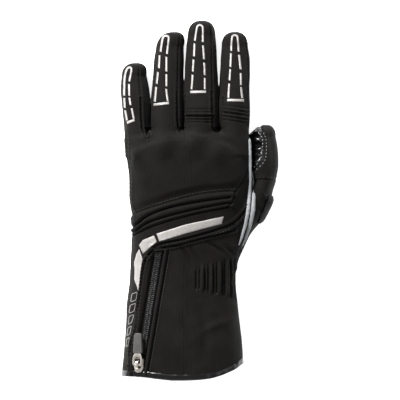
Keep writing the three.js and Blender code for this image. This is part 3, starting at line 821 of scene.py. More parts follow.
PIPED_LINE = photo(
    *((236, 230), (203.2, 238.2), (176.6, 245.4), (156.3, 249), (148.6, 256.8), (144.6, 267.4)),
    *((140.5, 297), (137.3, 329), (133, 344), (131.6, 356), (132.4, 367.3), (136, 375)),
)
OUTER_SEAM = ((-62.5, 57), (-60.1, 35.2), (-58.3, 21.7), (-57.4, 0.9), (-55.8, -14.4))
FLAP_SEAM = tuple((ZIP.x(y, ZIP.opening + ZIP.inner_flap + 0.3), y) for y in (-42, -80, -115, -150))
CROTCH_CREASES = (
    Fold(photo((149.2, 114), (147.8, 128), (147.2, 138.4)), -3.8, 0.85),
    Fold(photo((182.4, 108), (181.8, 122), (181, 132.6)), -3.4, 0.8),
    Fold(photo((217.8, 108), (217.2, 121), (216.7, 131)), -3.4, 0.8),
)
INSERT_ARMS = (
    ((141, 98), (142, 121.3), (143.8, 132), (147.3, 139.4), (150.8, 136), (152.3, 126.6), (151.8, 104)),
    ((177.1, 92), (177.4, 121.3), (180.8, 133.4), (184.7, 128.5), (186.4, 96)),
    ((211.7, 92), (212.3, 124.5), (216.5, 132.2), (221.6, 126.6), (223.8, 98)),
)
INSERT_SEAMS = tuple(Groove(photo(*arms), 1.5, 0.6, 0.7, 0.12, 3.2) for arms in INSERT_ARMS)


@dataclass
class Relief:
    """Everything that the cloth's surface does beyond the glove's form."""

    protector: float = 2.4
    patch_swell: float = 4.6
    root_swell: float = 1.0
    gather_depth: float = 2.7
    gather_puff: float = 2.0
    rib: tuple[float, float, float] = (2.4, 2.2, 1.8)
    gather_tops: tuple[Point, ...] = ((-10, -57), (30, -46.8))
    gather_bottoms: tuple[Point, ...] = ((-10, -77.4), (4, -78.5), (12, -80.6), (22, -81.6), (31, -87))
    gather_pairs: tuple[Point, ...] = ((-2.9, -0.3), (4.3, 7.3), (11.6, 14.5), (18.9, 21.3), (25.7, 29.9))
    knuckles: tuple[tuple[float, float, float, float], ...] = (
        (-54.0, 38, 7.5, 2.6),
        (-31.5, 46, 9.0, 4.0),
        (-7.0, 47, 9.0, 4.3),
        (15.5, 42, 9.0, 3.8),
    )
    seams: tuple[Groove, ...] = (
        Groove(RIB_TOP, 0.5, 0.7, 0.15),
        Groove(FIRST_GROOVE, 2.3, 0.95, 0.1),
        Groove(SECOND_GROOVE, 2.2, 0.9, 0.1),
        Groove(RIB_LOWER, 1.5, 0.85, 0.2),
        Groove((RIB_TOP[-1],) + RIB_END, 0.8, 0.8, 0.2),
        Groove(((40.4, 25.2), (37.2, 17.7), (29.9, 6.2), (25.4, -3.9), (21.9, -5.8)), 0.8, 0.8, 0.3),
        Groove(BAND_BOTTOM, 1.6, 0.9, 1.1, 0.85, 3.0),
        Groove(PIPED_LINE, 1.5, 0.8, 1.2, 0.5, 3.0),
        Groove(FLAP_SEAM, 1.4, 0.7, 0.5),
        Groove(SIDE_SEAM, 1.0, 0.9, 0.6, 0.2),
        Groove(OUTER_SEAM, 1.0, 0.8, 0.6, 0.2),
    )
    folds: tuple[Fold, ...] = (
        Fold(photo((180.8, 247), (188, 256), (194.7, 268)), -1.9, 1.5),
        Fold(photo((190.4, 246), (197, 257), (203, 266)), -1.9, 1.4),
        Fold(photo((207.5, 242), (217, 248), (225.6, 255)), -2.0, 1.4),
        Fold(photo((225.6, 245), (231, 251), (236.2, 257)), -1.7, 1.3),
        Fold(photo((170, 252), (180, 264), (186, 280)), 0.8, 3.0),
        Fold(photo((204, 331), (213, 326), (230, 320)), 1.7, 3.2),
        Fold(photo((166, 300), (178, 318), (184, 345)), 1.3, 4.0),
        Fold(photo((200, 300), (206, 330), (204, 360)), -1.3, 4.5),
        Fold(photo((236, 300), (230, 330), (232, 360)), 0.9, 5.0),
        Fold(photo((128, 300), (133, 325), (131, 350)), 0.8, 3.0),
        Fold(photo((230, 285), (236, 282), (243, 280)), -1.2, 2.4),
        Fold(photo((130, 262), (134, 270), (133, 284)), -0.8, 2.0),
        Fold(photo((256, 184), (262, 192), (269.5, 203)), 1.5, 1.2),
        Fold(photo((254, 190), (258, 202), (262, 214)), -1.3, 1.3),
    )

    def height(self, zone: Zone, points: Array, normals: Array) -> Array:
        """How far the cloth stands out from the form.

        Args:
            zone: the part of the form that the places lie on.
            points: places on the form's skin.
            normals: directions straight out of it there.

        Returns:
            One height for each place.
        """
        total = 0.32 * ripple(points, 34, 3) + 0.12 * ripple(points, 15, 5)
        if zone is Zone.BLOCK:
            total += self._block(points, normals)
        elif zone is Zone.THUMB:
            total += self._thumb(points)
        else:
            total += self._finger(zone, points)
        return total

    def _block(self, points: Array, normals: Array) -> Array:
        """The back of the hand, the ribs, the band and the cuff."""
        top = smoothstep(-0.1, 0.25, normals[:, 2]) * smoothstep(14, 22, points[:, 2])
        inside = -outside_distance(smooth_path(PROTECTOR, 2.0, closed=True), points)
        rise = self.protector * smoothstep(-0.5, 6.5, inside)
        for x, y, size, high in self.knuckles:
            away = np.hypot(points[:, 0] - x, (points[:, 1] - y) / 1.15)
            rise += high * bell(away, size)
        rise += self._ribs(points)
        for line in (*self.seams, *self.folds, *CROTCH_CREASES, *INSERT_SEAMS):
            rise += line.rise(points)
        rise += self._gathers(points)
        side = side_seam_height(points)
        beside = np.abs(points[:, 2] - side)
        low = (points[:, 1] < FINGER_SEAM_Y) & (np.abs(normals[:, 2]) < 0.95)
        seam = np.where(low, -0.7 * bell(beside, 0.9) + 0.35 * bell(beside - 2, 1.2), 0)
        return rise * top + seam

    def _ribs(self, points: Array) -> Array:
        """The padded ribs between their grooves."""
        lines = [RIB_TOP, FIRST_GROOVE, SECOND_GROOVE, RIB_LOWER]
        near = in_box(points, np.array((-75, -45)), np.array((32, 12)))
        rise = np.zeros(near.sum())
        sides = [along_path(smooth_path(line), points[near]) for line in lines]
        for (above, _, turn_above), (below, _, turn_below), height in zip(sides[:-1], sides[1:], self.rib):
            between = (turn_above < 0) & (turn_below > 0)
            share = above / np.maximum(above + below, 1e-6)
            rise += np.where(between, height * np.sqrt(np.clip(1 - (2 * share - 1) ** 2, 0, 1)), 0)
        result = np.zeros(len(points))
        result[near] = rise * smoothstep(31, 26, points[near, 0])
        return result

    def _gathers(self, points: Array) -> Array:
        """Elastic gathers across the inside of the wrist: pairs of tucks between puffed cloth."""
        x, y = points[:, 0], points[:, 1]
        tops = np.interp(x, *np.array(self.gather_tops).T)
        bottoms = np.interp(x, *np.array(self.gather_bottoms).T)
        window = smoothstep(0, 7, tops - y) * smoothstep(-1, 5, y - bottoms)
        window *= smoothstep(-12, -6, x) * smoothstep(34, 30, x)
        rise = np.zeros(len(points))
        edges = [edge for pair in self.gather_pairs for edge in pair]
        for edge in edges:
            rise -= self.gather_depth * bell(x - edge, 0.8)
        for (_, left), (right, _) in zip(self.gather_pairs[:-1], self.gather_pairs[1:]):
            rise += self.gather_puff * bell(x - (left + right) / 2, 1.9)
        for left, right in self.gather_pairs:
            rise += 0.5 * bell(x - (left + right) / 2, 1.0)
        return rise * window

    def _finger(self, zone: Zone, points: Array) -> Array:
        """A finger's seams and its stretch pleats."""
        limb = FINGERS[zone.value]
        angle = limb.angle(points)
        rise = np.zeros(len(points))
        for edge in FINGER_PANELS[zone.value].edges:
            away = np.abs(turned(angle, edge)) * math.radians(12.5)
            rise += -0.8 * bell(away, 0.75) + 0.4 * bell(away - 1.9, 1.1)
        pleats = PLEATS.get(zone.value)
        if pleats:
            rise += pleats.height(points, angle)
        for end, side in zip(GAP_ENDS[zone.value], (180, 0)):
            swell = self.root_swell * bell(turned(angle, side), 48)
            rise += swell * smoothstep(end + 5, end - 3, points[:, 1])
        low = smoothstep(100, 88, points[:, 1]) * smoothstep(-10, 20, angle) * smoothstep(200, 170, angle)
        for seam in INSERT_SEAMS:
            rise += seam.rise(points) * low
        return rise * smoothstep(-2, 6, limb.end + limb.dome_length - points[:, 1])

    def _thumb(self, points: Array) -> Array:
        """The thumb's seams, and the wrinkles of its grip patch."""
        angle = THUMB.angle(points)
        rise = np.zeros(len(points))
        for edge in THUMB_EDGES:
            away = np.abs(turned(angle, edge)) * math.radians(10)
            rise += -0.7 * bell(away, 0.75) + 0.35 * bell(away - 1.9, 1.1)
        back = smoothstep(30, 60, angle) * smoothstep(190, 160, angle)
        inside = -outside_distance(GRIP_PATCH, points)
        edge = -0.9 * bell(inside, 0.7) + 0.5 * bell(inside + 1.8, 1.1) + 0.3 * bell(inside - 2, 1.0)
        rise += back * edge
        for seam in THUMB_SEAMS:
            rise += seam.rise(points) * smoothstep(-20, 10, angle)
        beside = smoothstep(60, 115, angle) * smoothstep(235, 185, angle)
        beside = beside * smoothstep(14, 27, points[:, 1]) * smoothstep(64, 53, points[:, 1])
        rise += self.patch_swell * beside
        stretched = points * np.array((0.5, 1.0, 0.6))
        wrinkles = 1 - 2.4 * np.abs(ripple(stretched, 8.0, 11)) + 0.2 * ripple(points, 4.0, 12)
        return rise + back * smoothstep(0.5, 3.5, inside) * wrinkles


@dataclass(frozen=True)
class FingerPanels:
    """Where a finger's back ends on each side, and its side walls, in degrees round it."""

    right: float
    left: float
    side: float = 50.0

    @property
    def edges(self) -> tuple[float, float, float, float]:
        """The angles of its four seams."""
        return self.right, self.left, self.right - self.side, self.left + self.side


FINGER_PANELS = {
    "little": FingerPanels(70, 186),
    "ring": FingerPanels(53, 172),
    "middle": FingerPanels(50, 160),
    "index": FingerPanels(30, 156),
}
THUMB_EDGES = (172.0, -30.0)
GRIP_EDGE = (
    *((50.5, 66), (53.2, 57), (55.3, 48.8), (55.4, 40)),
    *((54.6, 33), (51.3, 26.6), (46, 21.5), (40, 19.5)),
)
GRIP_PATCH = np.vstack([smooth_path(GRIP_EDGE), [(30, 19.5)], [(30, 66)]])


# The Y where the gap beside a finger closes, on its left and right
GAP_ENDS = {"little": (0.0, 83.5), "ring": (83.5, 100.5), "middle": (100.5, 96.0), "index": (96.0, 0.0)}
THUMB_SEAMS = (
    Groove(photo((250, 186), (258, 180.6), (266, 179.6), (278, 178.6)), 0.9, 0.8, 0.4),
    Groove(photo((259.6, 196), (262, 201), (265.4, 206)), 0.8, 1.0, 0.4),
)


@dataclass(frozen=True)
class Pleats:
    """Stretch pleats across the back of a finger: where each line lies and how deep it is."""

    lines: tuple[tuple[float, float], ...]
    slant: float
    left: float
    right: float
    width: float = 0.75

    def height(self, points: Array, angle: Array) -> Array:
        """How far they move the skin out at places.

        Args:
            points: places on the finger.
            angle: their direction from its axis.

        Returns:
            One height for each place.
        """
        x, y = points[:, 0], points[:, 1]
        level = y + self.slant * (x - (self.left + self.right) / 2)
        mask = smoothstep(self.left, self.left + 3, x) * smoothstep(self.right, self.right - 2, x)
        mask *= smoothstep(10, 30, angle)
        rise = np.zeros(len(points))
        places = sorted(place for place, _ in self.lines)
        for place, depth in self.lines:
            rise -= depth * bell(level - place, self.width)
        for low, high in zip(places[:-1], places[1:]):
            rise += 0.34 * (high - low) * bell(level - (low + high) / 2, (high - low) / 2.6)
        return rise * mask


PLEATS = {
    "middle": Pleats(((76.6, 1.1), (74.4, 1.4), (71.0, 2.4), (68.3, 1.7), (66.0, 1.2)), 0.0, -13.0, 12.0),
    "index": Pleats(((78.8, 1.0), (75.9, 1.3), (73.0, 2.4), (69.6, 1.7), (66.9, 1.1)), 0.14, 17.5, 42.0),
}


def side_seam_height(points: Array) -> Array:
    """The height of the seam between the back and the palm side, lower beside the thumb."""
    return 25 - 11 * smoothstep(34, 46, points[:, 0])


def hem_line(x: Array) -> Array:
    """Where the hem lies along the glove at an X."""
    line = smooth_path(HEM)
    return np.interp(x, line[:, 0], line[:, 1])


RELIEF = Relief()


# Shader nodes


class Value:
    """A shader socket with arithmetic: an expression adds its Math nodes."""

    def __init__(self, tree: "Tree", socket: bpy.types.NodeSocket) -> None:
        """Wraps a socket of a tree."""
        self.tree = tree
        self.socket = socket

    def _math(self, operation: str, first: "Term", second: "Term") -> "Value":
        """One Math node."""
        return self.tree.node("ShaderNodeMath", {"operation": operation}, {0: first, 1: second})

    def __add__(self, other: "Term") -> "Value":
        """Sum."""
        return self._math("ADD", self, other)

    __radd__ = __add__

    def __sub__(self, other: "Term") -> "Value":
        """Difference."""
        return self._math("SUBTRACT", self, other)

    def __rsub__(self, other: "Term") -> "Value":
        """Difference from a number."""
        return self._math("SUBTRACT", other, self)

    def __mul__(self, other: "Term") -> "Value":
        """Product."""
        return self._math("MULTIPLY", self, other)

    __rmul__ = __mul__

    def wave(self) -> "Value":
        """Its sine."""
        return self._math("SINE", self, 0.0)

    def size(self) -> "Value":
        """Its absolute value."""
        return self._math("ABSOLUTE", self, 0.0)


Term = Value | float | int


class Tree:
    """A node tree while it is made."""

    tree: bpy.types.NodeTree

    def node(
        self, kind: str, settings: dict[str, object], inputs: dict[int | str, object], output: int | str = 0
    ) -> Value:
        """Adds one node.

        Args:
            kind: the node's type.
            settings: its properties, set first.
            inputs: values or links of its sockets, by number or name.
            output: the socket that is handed back.

        Returns:
            That output as a value.
        """
        made = self.tree.nodes.new(kind)
        for name, setting in settings.items():
            setattr(made, name, setting)
        for key, given in inputs.items():
            if isinstance(given, Value):
                self.tree.links.new(given.socket, made.inputs[key])
            else:
                made.inputs[key].default_value = given
        return Value(self, made.outputs[output])


class Look(Tree):
    """A material and its node tree while it is made."""

    def __init__(self, name: str) -> None:
        """Starts a material with one Principled shader."""
        self.material = bpy.data.materials.new(name)
        self.material.use_nodes = True
        self.tree = self.material.node_tree
        self.shader = self.tree.nodes["Principled BSDF"]

    def constants(self, **values: object) -> None:
        """Sets numbers on the shader's own sockets, named with underscores."""
        for name, value in values.items():
            socket = name.replace("_", " ").title().replace("Ior", "IOR")
            self.shader.inputs[socket].default_value = value

    def feed(self, socket: str, value: Value) -> None:
        """Links a value to one of the shader's sockets."""
        self.tree.links.new(value.socket, self.shader.inputs[socket])

    def place(self) -> Value:
        """Object coordinates."""
        return self.node("ShaderNodeTexCoord", {}, {}, "Object")

    def cloth(self) -> tuple[Value, Value]:
        """The piece's own lengths across and along, in metres."""
        flat = self.node("ShaderNodeUVMap", {"uv_map": "cloth"}, {})
        across, along = (self.node("ShaderNodeSeparateXYZ", {}, {0: flat}, axis) for axis in "XY")
        return across, along

    def noise(self, scale: float, detail: float = 3.0, roughness: float = 0.55) -> Value:
        """Fractal noise on Object coordinates, from 0 to 1."""
        inputs = {"Vector": self.place(), "Scale": scale, "Detail": detail, "Roughness": roughness}
        return self.node("ShaderNodeTexNoise", {}, inputs)

    def cells(self, scale: float, feature: str = "F1") -> Value:
        """Distance to scattered points, on Object coordinates."""
        inputs = {"Vector": self.place(), "Scale": scale}
        return self.node("ShaderNodeTexVoronoi", {"feature": feature}, inputs, "Distance")

    def ramp(self, value: Value, stops: Sequence[tuple[float, Sequence[float]]]) -> Value:
        """A colour ramp.

        Args:
            value: where on the ramp.
            stops: the places and colours of its two ends.

        Returns:
            The colour.
        """
        made = self.node("ShaderNodeValToRGB", {}, {0: value})
        for stop, (place, color) in zip(made.socket.node.color_ramp.elements, stops):
            stop.position, stop.color = place, (*color, 1)
        return made

    def bump(self, height: Value, distance: float) -> None:
        """Feeds a height in metres of the given distance to the shader's Normal."""
        inputs = {"Height": height, "Distance": distance, "Strength": 1.0}
        self.feed("Normal", self.node("ShaderNodeBump", {}, inputs))


def grey(level: float, warm: float = 1.0) -> tuple[float, float, float]:
    """A near-grey in linear light: warm above one leans to red, below to blue."""
    return (level * warm, level, level / warm)


@dataclass(frozen=True)
class ClothFinish:
    """Woven cloth: ribs across, yarns along, a soft mottle and a velvet edge."""

    name: str
    level: float
    rib: float = 0.0011
    yarn: float = 0.0007
    depth: float = 0.00012
    roughness: float = 0.8
    sheen: float = 0.03

    def material(self) -> bpy.types.Material:
        """The finished material."""
        look = Look(self.name)
        across, along = look.cloth()
        ribs = (across * (2 * math.pi / self.rib)).wave()
        yarns = (along * (2 * math.pi / self.yarn) + across * (math.pi / self.rib)).wave()
        fuzz = look.noise(2600, 2)
        weave = ribs * 0.5 + yarns * 0.3 + fuzz * 1.2
        mottle = look.noise(55, 4, 0.6)
        tone = mottle * 0.7 + weave * 0.12
        dark, light = grey(self.level * 0.65, 1.1), grey(self.level * 1.5, 1.1)
        look.feed("Base Color", look.ramp(tone, ((0.15, dark), (0.65, light))))
        look.feed("Roughness", self.roughness - 0.12 * mottle)
        look.bump(weave + look.noise(260, 3) * 1.5, self.depth)
        look.constants(sheen_weight=self.sheen, sheen_roughness=0.5, specular_ior_level=0.06)
        return look.material


@dataclass(frozen=True)
class LeatherFinish:
    """Leather: grain cells, fine creases, and a shine that varies with its mottle."""

    name: str
    color: tuple[float, float, float]
    grain: float = 900.0
    depth: float = 0.00018
    roughness: float = 0.5
    shine: float = 0.5
    crease: float = 90.0

    def material(self) -> bpy.types.Material:
        """The finished material."""
        look = Look(self.name)
        cells = look.cells(self.grain, "DISTANCE_TO_EDGE")
        creases = (look.noise(self.crease, 4, 0.6) - 0.5).size()
        fine = look.noise(self.grain * 1.7, 2)
        mottle = look.noise(70, 3)
        dark = tuple(0.7 * channel for channel in self.color)
        light = tuple(1.3 * channel for channel in self.color)
        look.feed("Base Color", look.ramp(mottle * 0.8 + fine * 0.2, ((0.25, dark), (0.75, light))))
        look.feed("Roughness", self.roughness + 0.25 * (mottle - 0.5) + 0.1 * fine)
        look.bump(cells * 1.6 + creases * 2.0 + fine * 0.4, self.depth)
        look.constants(specular_ior_level=self.shine)
        return look.material


@dataclass(frozen=True)
class FoilFinish:
    """Reflective foil of tiny glass beads: warm grey with a sparkling grain."""

    name: str
    level: float

    def material(self) -> bpy.types.Material:
        """The finished material."""
        look = Look(self.name)
        beads = look.cells(1500)
        sparkle = look.noise(1900, 2, 0.7)
        cloud = look.noise(120, 4, 0.65)
        tone = sparkle * 0.75 + cloud * 0.35 - beads * 0.12
        dark, light = grey(self.level * 0.62, 1.05), grey(self.level * 1.25, 1.04)
        look.feed("Base Color", look.ramp(tone, ((0.35, dark), (0.72, light))))
        look.feed("Roughness", 0.36 + 0.35 * sparkle)
        look.bump(beads * -1.0 + sparkle, 0.00008)
        look.constants(metallic=0.25, specular_ior_level=0.6)
        return look.material


@dataclass(frozen=True)
class SolidFinish:
    """Moulded plastic, rubber or plated metal."""

    name: str
    color: tuple[float, float, float]
    roughness: float
    metallic: float = 0.0
    grain: float = 800.0
    depth: float = 0.00003

    def material(self) -> bpy.types.Material:
        """The finished material."""
        look = Look(self.name)
        smear = look.noise(160, 4, 0.6)
        fine = look.noise(self.grain, 3)
        dark = tuple(0.86 * channel for channel in self.color)
        light = tuple(1.1 * channel for channel in self.color)
        look.feed("Base Color", look.ramp(smear, ((0.3, dark), (0.7, light))))
        look.feed("Roughness", self.roughness + 0.16 * (smear - 0.5) + 0.06 * fine)
        look.bump(fine + smear * 0.5, self.depth)
        look.constants(metallic=self.metallic, specular_ior_level=0.3)
        return look.material


Finish = ClothFinish | LeatherFinish | FoilFinish | SolidFinish
FINISHES: dict[str, Finish] = {
    finish.name: finish
    for finish in (
        ClothFinish("softshell", 0.0047),
        ClothFinish("side_cloth", 0.0042, rib=0.0008, yarn=0.0008, roughness=0.76),
        ClothFinish("stretch_cloth", 0.0034, rib=0.0009, roughness=0.7),
        LeatherFinish("palm_leather", grey(0.0045, 1.02), roughness=0.6, shine=0.15),
        LeatherFinish("grip_leather", grey(0.003), depth=0.00005, roughness=0.17, shine=0.4),
        LeatherFinish("pad_leather", grey(0.003), roughness=0.5, shine=0.06),
        LeatherFinish("piping_leather", grey(0.25, 0.97), depth=0.00025, roughness=0.6, shine=0.25),
        FoilFinish("foil", 0.33),
        FoilFinish("motif_foil", 0.22),
        SolidFinish("black_plastic", grey(0.012), 0.25),
        SolidFinish("grey_rubber", grey(0.058, 1.04), 0.6, depth=0.00008),
        SolidFinish("bright_metal", (0.8, 0.75, 0.68), 0.3, metallic=1.0, depth=0.00001),
        SolidFinish("thread", grey(0.016), 0.4),
        # Black glossy thread painted light grey: a painted glint for the grip patch's stitches.
        SolidFinish("glint_painted_thread", grey(0.16), 0.35),
    )
}

# The slot of a finish that has none of its own
SLOT_OF = {
    "pad_leather": "grip_leather",
    "thread": "softshell",
    "glint_painted_thread": "grip_leather",
    "motif_foil": "foil",
}


class Wardrobe:
    """Makes each material once, and hands it out by its slot."""

    made: dict[str, bpy.types.Material] = {}

    @classmethod
    def get(cls, slot: str) -> bpy.types.Material:
        """The material of a slot."""
        if slot not in cls.made:
            cls.made[slot] = FINISHES[slot].material()
        return cls.made[slot]


# Pieces


def put(name: str, data: bpy.types.ID) -> bpy.types.Object:
    """A new object in the scene."""
    made = bpy.data.objects.new(name, data)
    bpy.context.scene.collection.objects.link(made)
    return made


@dataclass
class Piece:
    """A finished mesh on its way into the scene, with what it stands for."""

    name: str
    slot: str
    points: Array
    faces: Sequence[Sequence[int]] | Array
    normals: Array | None = None
    cloth: Array | None = None
    replaces: tuple[str, ...] = ()
    body: str = GLOVE

    def add(self) -> bpy.types.Object:
        """Makes the object, dresses it and lets it ride on its body.

        Returns:
            The object, at the origin.
        """
        mesh = bpy.data.meshes.new(self.name)
        faces = self.faces.tolist() if isinstance(self.faces, np.ndarray) else self.faces
        mesh.from_pydata((self.points * MM).tolist(), [], faces)
        if self.cloth is not None:
            layer = mesh.uv_layers.new(name="cloth")
            corners = np.empty(len(mesh.loops), np.int32)
            mesh.loops.foreach_get("vertex_index", corners)
            layer.data.foreach_set("uv", (self.cloth[corners] * MM).astype(np.float32).ravel())
        mesh.polygons.foreach_set("use_smooth", np.ones(len(mesh.polygons), bool))
        mesh.update()
        if self.normals is not None:
            mesh.normals_split_custom_set_from_vertices(self.normals.tolist())
        return dress(put(self.name, mesh), self.slot, self.replaces, self.body)


def dress(
    made: bpy.types.Object, slot: str, nodes: tuple[str, ...], body: str = GLOVE
) -> bpy.types.Object:
    """Gives an object its material and body, and hides the CAD nodes that it stands for.

    Args:
        made: the object.
        slot: the material slot.
        nodes: names of CAD nodes.
        body: the CAD body that it rides on.

    Returns:
        The object.
    """
    made.data.materials.clear()
    made.data.materials.append(Wardrobe.get(slot))
    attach(made, body)
    SLOT_OF.get(slot, slot)
    if nodes:
        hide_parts(*nodes)
    log.info("%s: %d faces", made.name, len(made.data.polygons))
    return made


# Repeated shapes, placed by Geometry Nodes


@dataclass
class Seats:
    """Where repeated shapes sit, and the directions that turn them."""

    points: Array
    along: Array
    up: Array

    def cloud(self) -> bpy.types.Object:
        """Loose vertices that carry both directions as attributes."""
        mesh = bpy.data.meshes.new("seats")
        mesh.from_pydata((self.points * MM).tolist(), [], [])
        for name, values in (("along", self.along), ("up", self.up)):
            layer = mesh.attributes.new(name, "FLOAT_VECTOR", "POINT")
            layer.data.foreach_set("vector", values.astype(np.float32).ravel())
        return put("seats", mesh)


class Repeater(Tree):
    """A node tree that puts one rounded shape on every seat."""

    sizes = ("Length", "Width", "Height", "Variation")
    seed = 7

    def __init__(self, name: str, slot: str, boxy: bool) -> None:
        """Builds the tree.

        Args:
            name: of the tree.
            slot: the finish of its shapes.
            boxy: whether they are rounded boxes or long beads.
        """
        self.slot = slot
        self.tree = bpy.data.node_groups.new(name, "GeometryNodeTree")
        face = self.tree.interface
        face.new_socket("Seats", in_out="INPUT", socket_type="NodeSocketGeometry")
        face.new_socket("Shapes", in_out="OUTPUT", socket_type="NodeSocketGeometry")
        self.keys = {}
        for label in self.sizes:
            socket = face.new_socket(label, in_out="INPUT", socket_type="NodeSocketFloat")
            self.keys[label] = socket.identifier
        given = self.tree.nodes.new("NodeGroupInput").outputs
        length, width, height, variation = (Value(self, given[label]) for label in self.sizes)
        shape = self.rounded_box() if boxy else self.bead()
        align = "FunctionNodeAlignRotationToVector"
        turn = self.node(align, {"axis": "X"}, {"Vector": self.direction("along")})
        settings = {"axis": "Z", "pivot_axis": "X"}
        turn = self.node(align, settings, {"Rotation": turn, "Vector": self.direction("up")})
        limits = {2: 1.0 - variation, 3: 1.0 + variation, "Seed": self.seed}
        chance = self.node("FunctionNodeRandomValue", {"data_type": "FLOAT"}, limits, 1)
        scale = self.node("ShaderNodeCombineXYZ", {}, {"X": length * chance, "Y": width, "Z": height})
        inputs = {"Points": Value(self, given["Seats"]), "Instance": shape, "Rotation": turn, "Scale": scale}
        shapes = self.node("GeometryNodeInstanceOnPoints", {}, inputs)
        shapes = self.node("GeometryNodeRealizeInstances", {}, {"Geometry": shapes})
        inputs = {"Geometry": shapes, "Material": Wardrobe.get(slot)}
        shapes = self.node("GeometryNodeSetMaterial", {}, inputs)
        result = self.tree.nodes.new("NodeGroupOutput")
        self.tree.links.new(shapes.socket, result.inputs["Shapes"])

    def rounded_box(self) -> Value:
        """A box of unit size with soft edges."""
        box = self.node("GeometryNodeMeshCube", {}, {"Size": (1, 1, 1)})
        inputs = {"Mesh": box, "Level": 2, "Edge Crease": 0.62}
        return self.node("GeometryNodeSubdivisionSurface", {}, inputs)

    def bead(self) -> Value:
        """A ball of unit size."""
        return self.node("GeometryNodeMeshIcoSphere", {}, {"Radius": 0.5, "Subdivisions": 2})

    def direction(self, name: str) -> Value:
        """One of the directions that the seats carry."""
        return self.node("GeometryNodeInputNamedAttribute", {"data_type": "FLOAT_VECTOR"}, {"Name": name})

    def place(
        self,
        name: str,
        seats: Seats,
        size: tuple[float, float, float],
        variation: float = 0.0,
        replaced: tuple[str, ...] = (),
    ) -> bpy.types.Object:
        """Puts the shapes on their seats.

        Args:
            name: of the piece.
            seats: where they go.
            size: length, width and height of one shape, in millimetres.
            variation: how much the lengths differ, as a share.
            replaced: names of CAD nodes.

        Returns:
            The finished piece, an ordinary mesh.
        """
        source = seats.cloud()
        changer = source.modifiers.new("repeat", "NODES")
        changer.node_group = self.tree
        values = (*(length * MM for length in size), variation)
        for label, value in zip(self.sizes, values):
            changer[self.keys[label]] = float(value)
        done = source.evaluated_get(bpy.context.evaluated_depsgraph_get())
        mesh = bpy.data.meshes.new_from_object(done)
        bpy.data.objects.remove(source)
        mesh.name = name
        mesh.polygons.foreach_set("use_smooth", np.ones(len(mesh.polygons), bool))
        return dress(put(name, mesh), self.slot, replaced)


@dataclass
class Shell:
    """The soft shell of one zone: skinned, cut along its seams and split into walled panels."""

    zone: Zone
    low: tuple[float, float, float]
    high: tuple[float, float, float]
    wall: float
    cuts: Sequence[Callable[[Array], Array]]
    label: Callable[[Array], Array]
    middle: Callable[[Array], tuple[Array, Array]]

    def dressed(self) -> "Dressed":
        """The zone's skin, cut along its seams and with its relief."""
        skin = mesh_field(self.zone, self.low, self.high)
        for cut in self.cuts:
            skin = skin.split(cut(skin.points))
        base = skin.points
        out = FORM.normals(self.zone, base)
        raised = base + out * RELIEF.height(self.zone, base, out)[:, None]
        raised[:, 2] = np.maximum(raised[:, 2], LEAST_Z)
        flat = np.stack(self.middle(base), axis=1)
        names = self.label(skin.centres())
        smooth = vertex_normals(raised, skin.faces)
        return Dressed(skin.faces, base, out, raised, smooth, flat, names, self.wall)


Closed = tuple[Array, Array, Array, Array]


def closed(outer: Array, inner: Array, faces: Array, smooth: Array, out: Array, flat: Array) -> Closed:
    """Joins a panel's outer and inner face along its border.

    Args:
        outer: points of the outer face.
        inner: points of the lining's side.
        faces: triangles of the outer face.
        smooth: shading directions of the outer face.
        out: directions out of the form.
        flat: lengths for the weave.

    Returns:
        Points, triangles, normals and lengths of the closed panel.
    """
    count = len(outer)
    edges = np.concatenate([faces[:, [0, 1]], faces[:, [1, 2]], faces[:, [2, 0]]])
    keys = edges[:, 0].astype(np.int64) * count + edges[:, 1]
    twins = edges[:, 1].astype(np.int64) * count + edges[:, 0]
    border = edges[~np.isin(keys, twins)]
    a, b = border[:, 0], border[:, 1]
    rim = np.vstack([np.stack([b, a, a + count], axis=1), np.stack([b, a + count, b + count], axis=1)])
    points = np.vstack([outer, inner])
    triangles = np.vstack([faces, faces[:, ::-1] + count, rim])
    return points, triangles, np.vstack([smooth, -out]), np.vstack([flat, flat])


@dataclass
class Dressed:
    """A zone's skin after its seams are cut, ready to be taken apart."""

    faces: Array
    base: Array
    out: Array
    raised: Array
    smooth: Array
    flat: Array
    names: Array
    wall: float

    def panels(self) -> dict[str, Closed]:
        """Each panel with its wall, by its name."""
        lined = self.base - self.out * self.wall
        result = {}
        for name in sorted(set(self.names)):
            if name:
                used, faces = self.part(self.names == name)
                arrays = (self.smooth[used], self.out[used], self.flat[used])
                result[name] = closed(self.raised[used], lined[used], faces, *arrays)
        return result

    def part(self, chosen: Array) -> tuple[Array, Array]:
        """The vertices of chosen triangles, and the triangles numbered by them."""
        used, faces = np.unique(self.faces[chosen], return_inverse=True)
        return used, faces.reshape(-1, 3)

    def layer(self, outline: Array, floor: float, lift: float, crown: float, sink: float) -> Closed:
        """A raised pad that lies on the skin inside an outline.

        Args:
            outline: its edge in the plane of the table.
            floor: the height that it stays above.
            lift: how far its edge stands above the cloth.
            crown: how much higher its middle is.
            sink: how far its underside lies under the cloth.

        Returns:
            Points, triangles, normals and lengths of the closed pad.
        """
        centres = self.base[self.faces].mean(axis=1)
        chosen = (outside_distance(outline, centres) < 0) & (centres[:, 2] > floor)
        used, faces = self.part(chosen)
        inside = np.minimum(-outside_distance(outline, self.base[used]), self.base[used][:, 2] - floor)
        swell = crown * smoothstep(0, 4, inside) + 0.12 * ripple(self.base[used], 5, 31)
        outer = self.raised[used] + self.out[used] * (lift + swell)[:, None]
        inner = self.raised[used] - self.out[used] * sink
        smooth = vertex_normals(outer, faces)
        return closed(outer, inner, faces, smooth, self.out[used], self.flat[used])


SLOTS = {
    "palm": "palm_leather",
    "thumb_base": "side_cloth",
    "thumb_grip_patch": "grip_leather",
    "thumb_front": "palm_leather",
}


def panel_slot(name: str) -> str:
    """The material slot of a panel of the shell."""
    if name.endswith("_front"):
        return "palm_leather"
    if "_side_" in name:
        return "side_cloth"
    return SLOTS.get(name, "softshell")


